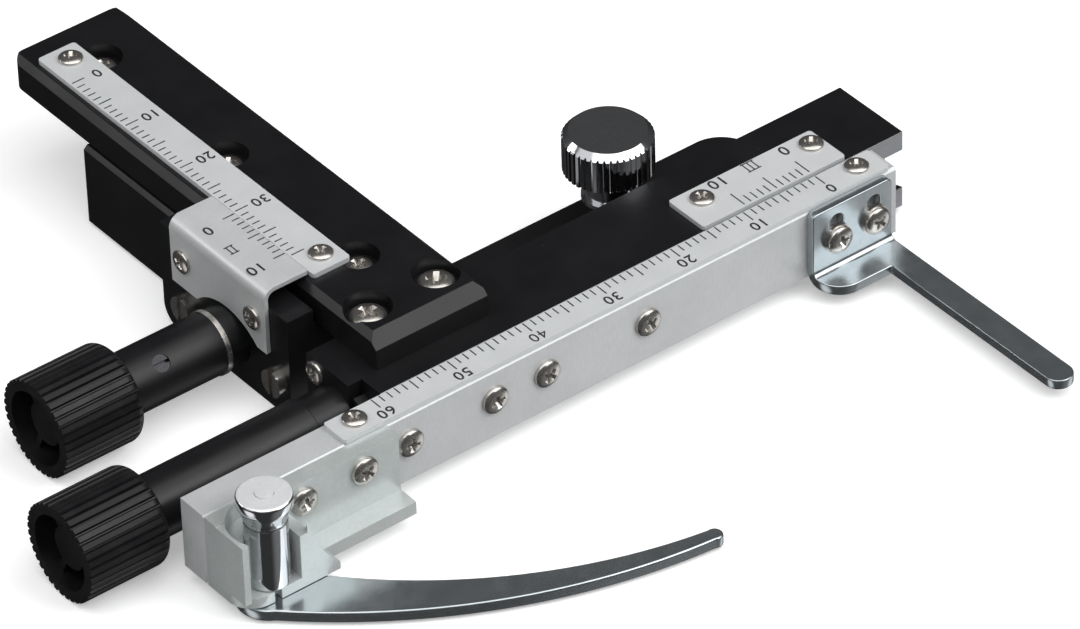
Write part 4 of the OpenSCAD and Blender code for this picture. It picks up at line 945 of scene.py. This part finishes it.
@dataclass
class Screws:
    """Every cross-head screw of the stage, placed on its CAD node."""

    small: Triple = (2.8, 0.8, 1.4)
    medium: Triple = (3.3, 1.1, 1.8)
    large: Triple = (4.2, 1.6, 2.6)
    spins: Tuple[float, ...] = (12.0, 51.0, 78.0, 33.0)
    tip_skin: float = 0.01
    ring_share: float = 1.1
    own_share: float = 0.55
    rim_share: float = 0.45

    def seats(self, node: str, axis: Axis, head: float, shank: float) -> List[Tuple[Vector, float]]:
        """Finds where the heads of a CAD node of screws sit, from the rings at the shanks' tips.

        Args:
            node: A CAD node of screws.
            axis: The way their heads point.
            head: Head diameter in millimetres.
            shank: Shank diameter in millimetres.

        Returns:
            The centre of each head's seat, and the screw's length below it, in millimetres.
        """
        way = TURNS[axis].to_3x3() @ Vector((0, 0, 1))
        points = [vertex.co / MM for vertex in frame["nodes"][node].data.vertices]
        spots = [(point.dot(way), point - way * point.dot(way)) for point in points]
        found = []
        while spots:
            # The lowest ring of points is one screw's tip, and its middle lies on that screw's axis
            tip, first = min(spots, key=lambda spot: spot[0])
            low = [flat for height, flat in spots if height < tip + self.tip_skin]
            ring = [flat for flat in low if (flat - first).length < shank * self.ring_share]
            middle = Vector([(min(f[i] for f in ring) + max(f[i] for f in ring)) / 2 for i in range(3)])
            own = [spot for spot in spots if (spot[1] - middle).length < head * self.own_share]
            spots = [spot for spot in spots if (spot[1] - middle).length >= head * self.own_share]
            seat = min(height for height, flat in own if (flat - middle).length > head * self.rim_share)
            found.append((middle + way * seat, seat - tip))
        return found

    def place(self, node: str, axis: Axis, size: Triple, finishes: Finishes) -> None:
        """Replaces a CAD node of screws by detailed ones, each length modelled once.

        Args:
            node: A CAD node of screws.
            axis: The way their heads point.
            size: Diameter and height of the head, and the shank's diameter, in millimetres.
            finishes: The materials of the stage.
        """
        head_d, head_h, shank_d = size
        models: Dict[float, Piece] = {}
        copies = []
        for index, (centre, depth) in enumerate(self.seats(node, axis, head_d, shank_d)):
            length = round(depth, 2)
            if length not in models:
                models[length] = CrossHeadScrew(f"{node}_screw", head_d, head_h, shank_d, length).build()
            spin = Matrix.Rotation(math.radians(self.spins[index % len(self.spins)]), 4, "Z")
            copies.append(duplicate(models[length], Matrix.Translation(centre * MM) @ TURNS[axis] @ spin))
        for model in models.values():
            bpy.data.objects.remove(model)
        LOG.info("%s holds %d screws", node, len(copies))
        piece = join(copies, f"{node}_cross")
        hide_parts(node)
        dress(piece, finishes.by_slot[slot_of(node)], node)

    def build(self, finishes: Finishes) -> None:
        """Places all screws.

        Args:
            finishes: The materials of the stage.
        """
        for node, axis, size in (
            ("y_vernier_screws", Axis.LEFT, self.small),
            ("y_scale_screws", Axis.UP, self.small),
            ("x_vernier_screws", Axis.UP, self.small),
            ("x_scale_screws", Axis.UP, self.small),
            ("x_end_screws", Axis.LEFT, self.small),
            ("y_rail_screws", Axis.UP, self.medium),
            ("guide_screws", Axis.UP, self.large),
            ("bar_screws", Axis.FRONT, self.medium),
            ("finger_screws", Axis.FRONT, self.medium),
            ("clamp_block_screws", Axis.FRONT, self.medium),
        ):
            self.place(node, axis, size, finishes)


@dataclass(frozen=True)
class Rule:
    """A row of lines on a plate: its zero line's start and the unit directions of row and line."""

    zero: Point
    run: Way
    along: Way

    def spot(self, place: Pair) -> Point:
        """Returns the point so far along the row and so far in from the zero line's start."""
        x, y = (self.zero[i] + self.run[i] * place[0] + self.along[i] * place[1] for i in (0, 1))
        return (x, y, self.zero[2])


@dataclass(frozen=True)
class ScaleMarks:
    """A millimetre scale: its length, last figure, short line, and the place of figure 0."""

    length: int
    last: int
    short: float
    figure: Pair


@dataclass(frozen=True)
class VernierMarks:
    """A vernier: its long and short line, and the places and heights of its figures."""

    long: float
    short: float
    zero: Pair
    ten: Pair
    figure_h: float
    numeral: Pair
    numeral_h: float
    strokes: int


@dataclass
class Graduations:
    """The engraved lines and figures of both scales and both verniers."""

    line_w: float = 0.15
    fill_h: float = 0.02
    long: float = 1.65
    figure_h: float = 1.45
    type_share: float = 1.38
    stroke_share: float = 0.014
    letter_space: float = 1.12
    curve_steps: int = 4
    serif: float = 0.5
    stroke_pitch: float = 0.62
    vernier_step: float = 0.9
    x_zero: float = 14.4
    x_gap: float = 0.1
    x_scale: ScaleMarks = ScaleMarks(60, 60, 1.1, figure=(0.0, 2.62))
    x_vernier_shift: float = 0.05
    x_vernier_gap: float = 0.3
    x_vernier: VernierMarks = VernierMarks(2.4, 1.3, (-0.3, 4.75), (8.8, 4.9), 1.6, (4.2, 4.85), 1.5, 3)
    y_zero: float = 43.2
    y_gap: float = 0.25
    # The scale's front screw leaves no room for its last figure
    y_scale: ScaleMarks = ScaleMarks(40, 30, 1.0, figure=(0.1, 3.2))
    y_vernier_zero: float = 12.7
    y_vernier_gap: float = 0.1
    y_vernier: VernierMarks = VernierMarks(1.5, 0.95, (0.6, 3.95), (9.2, 3.95), 1.5, (4.9, 3.95), 1.3, 2)

    def tick(self, start: Point, along: Way, length: float) -> Piece:
        """Returns one engraved line.

        Args:
            start: Its start on the plate in millimetres.
            along: Unit direction in which it runs.
            length: Its length in millimetres.

        Returns:
            A flat bar of enamel that stands barely proud of the plate.
        """
        x, y = (start[i] + along[i] * length / 2 for i in (0, 1))
        middle = (x, y, start[2] + self.fill_h / 2)
        deselect()
        bpy.ops.mesh.primitive_cube_add(size=1, location=[c * MM for c in middle])
        bar = bpy.context.object
        across = abs(along[0]) < 0.5
        width, depth = (self.line_w, length) if across else (length, self.line_w)
        bar.scale = (width * MM, depth * MM, self.fill_h * MM)
        settle(bar)
        return bar

    def comb(self, rule: Rule, first: float, step: float, count: int, length: float) -> Piece:
        """Returns equal lines of a row, made by an array.

        Args:
            rule: The row.
            first: How far along the row the first line stands, in millimetres.
            step: Distance from line to line in millimetres.
            count: Number of lines.
            length: Length of each line in millimetres.

        Returns:
            The lines as one mesh.
        """
        bar = self.tick(rule.spot((first, 0)), rule.along, length)
        array = bar.modifiers.new("row", "ARRAY")
        array.count = count
        array.use_relative_offset = False
        array.use_constant_offset = True
        array.constant_offset_displace = (rule.run[0] * step * MM, rule.run[1] * step * MM, 0)
        apply_modifiers(bar)
        return bar

    def figure(self, words: str, centre: Point, height: float) -> Piece:
        """Returns a figure, read from the rear of the stage as the real ones are.

        Args:
            words: The digits.
            centre: Middle of the figure on the plate in millimetres.
            height: Height of the digits in millimetres.

        Returns:
            The figure as a mesh.
        """
        deselect()
        bpy.ops.object.text_add(location=(0, 0, 0))
        text = bpy.context.object
        text.data.body = words
        text.data.align_x = "CENTER"
        text.data.align_y = "CENTER"
        text.data.size = height * self.type_share * MM
        # A wider stroke would close the counter of a four
        text.data.offset = 0.0 if "4" in words else self.stroke_share * height * MM
        text.data.extrude = self.fill_h / 2 * MM
        text.data.resolution_u = self.curve_steps
        text.data.space_character = self.letter_space
        bpy.ops.object.convert(target="MESH")
        mesh = bpy.context.object
        place = Matrix.Translation(Vector(centre) * MM + Vector((0, 0, self.fill_h / 2 * MM)))
        mesh.data.transform(place @ Matrix.Rotation(math.pi, 4, "Z"))
        return mesh

    def numeral(self, strokes: int, centre: Point, height: float) -> List[Piece]:
        """Returns a Roman numeral of upright strokes between two serifs.

        Args:
            strokes: Number of upright strokes.
            centre: Middle of the numeral on the plate in millimetres.
            height: Its height in millimetres.

        Returns:
            Its lines.
        """
        half = height / 2
        parts = []
        for index in range(strokes):
            x = centre[0] + (index - (strokes - 1) / 2) * self.stroke_pitch
            parts.append(self.tick((x, centre[1] - half, centre[2]), (0, 1), height))
        width = self.stroke_pitch * (strokes - 1) + self.serif
        for y in (centre[1] - half, centre[1] + half):
            parts.append(self.tick((centre[0] - width / 2, y, centre[2]), (1, 0), width))
        return parts

    def lines(self, rule: Rule, step: float, fives: int, long: float, short: float) -> List[Piece]:
        """Returns the lines of a scale or vernier, of which every fifth is long.

        Args:
            rule: The row of lines.
            step: Distance from line to line in millimetres.
            fives: Number of its groups of five divisions.
            long: Length of a long line in millimetres.
            short: Length of a short line in millimetres.

        Returns:
            Its lines.
        """
        parts = [self.comb(rule, 0, 5 * step, fives + 1, long)]
        for offset in range(1, 5):
            parts.append(self.comb(rule, offset * step, 5 * step, fives, short))
        return parts

    def scale(self, rule: Rule, marks: ScaleMarks) -> List[Piece]:
        """Engraves the lines of a scale and a figure at every tenth.

        Args:
            rule: The row of lines.
            marks: The scale's sizes.

        Returns:
            Its marks.
        """
        parts = self.lines(rule, 1.0, marks.length // 5, self.long, marks.short)
        for value in range(0, marks.last + 1, 10):
            centre = rule.spot((value + marks.figure[0], marks.figure[1]))
            parts.append(self.figure(str(value), centre, self.figure_h))
        return parts

    def vernier(self, rule: Rule, marks: VernierMarks) -> List[Piece]:
        """Engraves the lines of a vernier, its figures 0 and 10 and the numeral between them.

        Args:
            rule: The row of lines.
            marks: The vernier's sizes.

        Returns:
            Its marks.
        """
        parts = self.lines(rule, self.vernier_step, 2, marks.long, marks.short)
        parts.append(self.figure("0", rule.spot(marks.zero), marks.figure_h))
        parts += self.numeral(marks.strokes, rule.spot(marks.numeral), marks.numeral_h)
        parts.append(self.figure("10", rule.spot(marks.ten), marks.figure_h))
        return parts

    def publish(self, parts: List[Piece], name: str, node: str, finishes: Finishes) -> None:
        """Joins the marks of one plate and lets them ride with it."""
        dress(join(parts, name), finishes.fill, node)

    def build(self, finishes: Finishes) -> None:
        """Engraves the four plates.

        Args:
            finishes: The materials of the stage.
        """
        high = high_mm("x_scale")
        rule = Rule((self.x_zero, high.y - self.x_gap, high.z), (-1, 0), (0, -1))
        self.publish(self.scale(rule, self.x_scale), "x_scale_marks", "x_scale", finishes)

        node = "x_vernier_plate"
        front = low_mm(node).y + self.x_vernier_gap
        rule = Rule((self.x_zero + self.x_vernier_shift, front, high_mm(node).z), (-1, 0), (0, 1))
        self.publish(self.vernier(rule, self.x_vernier), "x_vernier_marks", node, finishes)

        left = low_mm("y_scale").x + self.y_gap
        rule = Rule((left, self.y_zero, high_mm("y_scale").z), (0, -1), (1, 0))
        self.publish(self.scale(rule, self.y_scale), "y_scale_marks", "y_scale", finishes)

        node = "y_vernier_bracket"
        high = high_mm(node)
        rule = Rule((high.x - self.y_vernier_gap, self.y_vernier_zero, high.z), (0, -1), (-1, 0))
        self.publish(self.vernier(rule, self.y_vernier), "y_vernier_marks", node, finishes)


@dataclass(frozen=True)
class SoftPatch:
    """A soft bright patch of the room: its direction, the angles where it fades, and its level."""

    axis: Point
    inner: float
    outer: float
    level: float


@dataclass(frozen=True)
class SoftLamp:
    """A rectangular soft lamp: its name, place, target and size in metres, and its watts."""

    name: str
    place: Point
    target: Point
    size: Pair
    watts: float


@dataclass
class Studio:
    """The pale floor, the dim room, the soft lamps and the camera.

    The camera's angles are in degrees, and its distance, aim and the point that it is set from,
    the X scale's zero line, are in millimetres.
    """

    floor_size: float = 4.0
    floor_drop: float = 0.02
    floor_glow: float = 0.35
    paper: str = "#f2f2f2"
    white: str = "#ffffff"
    room: str = "#fdfeff"
    room_low: float = 0.04
    room_high: float = 0.075
    room_fade: Pair = (-0.2, 0.3)
    azimuth: float = -37.04
    elevation: float = 37.95
    roll: float = -1.80
    distance: float = 830.8
    aim: Pair = (-30.066, -14.497)
    scale_zero: Point = (14.4, -18.4, 11.5)
    focal_px: float = 7725.5
    image_w: int = 1080
    sensor_w: float = 36.0
    clip: Pair = (0.05, 20.0)
    patches: Tuple[SoftPatch, ...] = (
        SoftPatch((0.475, -0.629, -0.615), 8.0, 42.0, 0.16),
        SoftPatch((0.725, -0.308, -0.615), 10.0, 26.0, 0.9),
        SoftPatch((-0.778, 0.124, -0.615), 8.0, 22.0, 1.1),
        SoftPatch((-0.720, 0.150, 0.680), 14.0, 24.0, 0.8),
    )
    lamps: Tuple[SoftLamp, ...] = (
        SoftLamp("top_soft", (-0.1, -0.25, 0.85), (-0.02, 0.0, 0.0), (1.3, 1.1), 8.6),
        SoftLamp("key_soft", (0.41, -0.55, 0.56), (-0.02, 0.0, 0.01), (0.75, 0.6), 3.8),
        SoftLamp("edge_strip", (-0.55, 0.57, 0.41), (-0.02, 0.0, 0.01), (0.45, 0.12), 0.7),
    )

    def floor(self) -> None:
        """Lays a white floor that the camera sees as plain white and that keeps the shadow."""
        deselect()
        bpy.ops.mesh.primitive_plane_add(size=self.floor_size, location=(0, 0, -self.floor_drop * MM))
        floor = bpy.context.object
        floor.name = "studio_floor"
        # Metal sees the room below it instead, as it does on the glass table of a photographer
        floor.visible_glossy = False
        material = bpy.data.materials.new("studio_white")
        material.use_nodes = True
        tree = material.node_tree
        tree.nodes.clear()
        path = add_node(tree, "ShaderNodeLightPath")
        paper = add_node(tree, "ShaderNodeBsdfDiffuse", {"Color": srgb(self.paper)})
        light = {"Color": srgb(self.white), "Strength": self.floor_glow}
        glow = add_node(tree, "ShaderNodeEmission", light)
        both = add_node(tree, "ShaderNodeAddShader", {0: paper.outputs[0], 1: glow.outputs[0]})
        shaders = {0: path.outputs["Is Camera Ray"], 1: paper.outputs[0], 2: both.outputs[0]}
        mixed = add_node(tree, "ShaderNodeMixShader", shaders)
        add_node(tree, "ShaderNodeOutputMaterial", {"Surface": mixed.outputs[0]})
        floor.data.materials.append(material)

    def hang(self, soft: SoftLamp) -> None:
        """Hangs a lamp so that it faces its target.

        Args:
            soft: The lamp.
        """
        deselect()
        bpy.ops.object.light_add(type="AREA", location=soft.place)
        lamp = bpy.context.object
        lamp.name = soft.name
        lamp.data.shape = "RECTANGLE"
        lamp.data.size, lamp.data.size_y = soft.size
        lamp.data.energy = soft.watts
        way = Vector(soft.target) - Vector(soft.place)
        lamp.rotation_euler = way.to_track_quat("-Z", "Y").to_euler()

    def glow_of(
        self, tree: bpy.types.NodeTree, way: bpy.types.NodeSocket, patch: SoftPatch
    ) -> bpy.types.NodeSocket:
        """Returns how brightly a soft patch of the room shines into a direction.

        Args:
            tree: The room's node tree.
            way: The direction that is looked along.
            patch: The patch.

        Returns:
            Its level, which fades out towards its rim.
        """
        dot = add_node(tree, "ShaderNodeVectorMath", {0: way, 1: patch.axis}, operation="DOT_PRODUCT")
        rim, core = (math.cos(math.radians(angle)) for angle in (patch.outer, patch.inner))
        fade = span(dot.outputs["Value"], rim, core, 0.0, patch.level)
        ramp = add_node(tree, "ShaderNodeMapRange", fade, interpolation_type="SMOOTHSTEP")
        return ramp.outputs["Result"]

    def world(self) -> None:
        """Makes a dim room with soft bright patches, plain white where the camera looks at it."""
        world = bpy.data.worlds.new("studio_room")
        bpy.context.scene.world = world
        world.use_nodes = True
        tree = world.node_tree
        tree.nodes.clear()
        way = add_node(tree, "ShaderNodeTexCoord").outputs["Generated"]
        height = add_node(tree, "ShaderNodeSeparateXYZ", {0: way}).outputs["Z"]
        dim = span(height, *self.room_fade, self.room_low, self.room_high)
        level = add_node(tree, "ShaderNodeMapRange", dim).outputs["Result"]
        for patch in self.patches:
            terms = {0: level, 1: self.glow_of(tree, way, patch)}
            level = add_node(tree, "ShaderNodeMath", terms, operation="ADD").outputs[0]
        path = add_node(tree, "ShaderNodeLightPath")
        room = add_node(tree, "ShaderNodeBackground", {"Color": srgb(self.room), "Strength": level})
        white = add_node(tree, "ShaderNodeBackground", {"Color": srgb(self.white), "Strength": 1.0})
        shaders = {0: path.outputs["Is Camera Ray"], 1: room.outputs[0], 2: white.outputs[0]}
        mixed = add_node(tree, "ShaderNodeMixShader", shaders)
        add_node(tree, "ShaderNodeOutputWorld", {"Surface": mixed.outputs[0]})

    def camera(self) -> None:
        """Sets the camera where the photograph was taken, found from the scales' divisions."""
        a, e, r = (math.radians(v) for v in (self.azimuth, self.elevation, self.roll))
        back = Vector((math.sin(a) * math.cos(e), -math.cos(a) * math.cos(e), math.sin(e)))
        flat = Vector((math.cos(a), math.sin(a), 0))
        rise = back.cross(flat)
        right = flat * math.cos(r) + rise * math.sin(r)
        up = rise * math.cos(r) - flat * math.sin(r)
        place = Vector(self.scale_zero) + back * self.distance + right * self.aim[0] + up * self.aim[1]
        data = bpy.data.cameras.new("photo_camera")
        data.sensor_fit = "HORIZONTAL"
        data.sensor_width = self.sensor_w
        data.lens = self.focal_px * self.sensor_w / self.image_w
        data.clip_start, data.clip_end = self.clip
        camera = bpy.data.objects.new("photo_camera", data)
        bpy.context.scene.collection.objects.link(camera)
        turn = Matrix((right, up, back)).transposed().to_4x4()
        camera.matrix_world = Matrix.Translation(place * MM) @ turn
        bpy.context.scene.camera = camera

    def build(self) -> None:
        """Sets up floor, room, camera and lamps."""
        self.floor()
        self.world()
        self.camera()
        for soft in self.lamps:
            self.hang(soft)
        view = bpy.context.scene.view_settings
        view.view_transform = "Standard"


def main() -> None:
    """Builds the studio and dresses the stage."""
    logging.basicConfig(level=logging.INFO, format="%(name)s: %(message)s")
    finishes = Finishes()
    finishes.dress_nodes()
    Studio().build()
    MachinedBodies().build(finishes)
    Fingers().build(finishes)
    Barrel().build(finishes)
    Screws().build(finishes)
    Graduations().build(finishes)


if __name__ == "__main__":
    main()
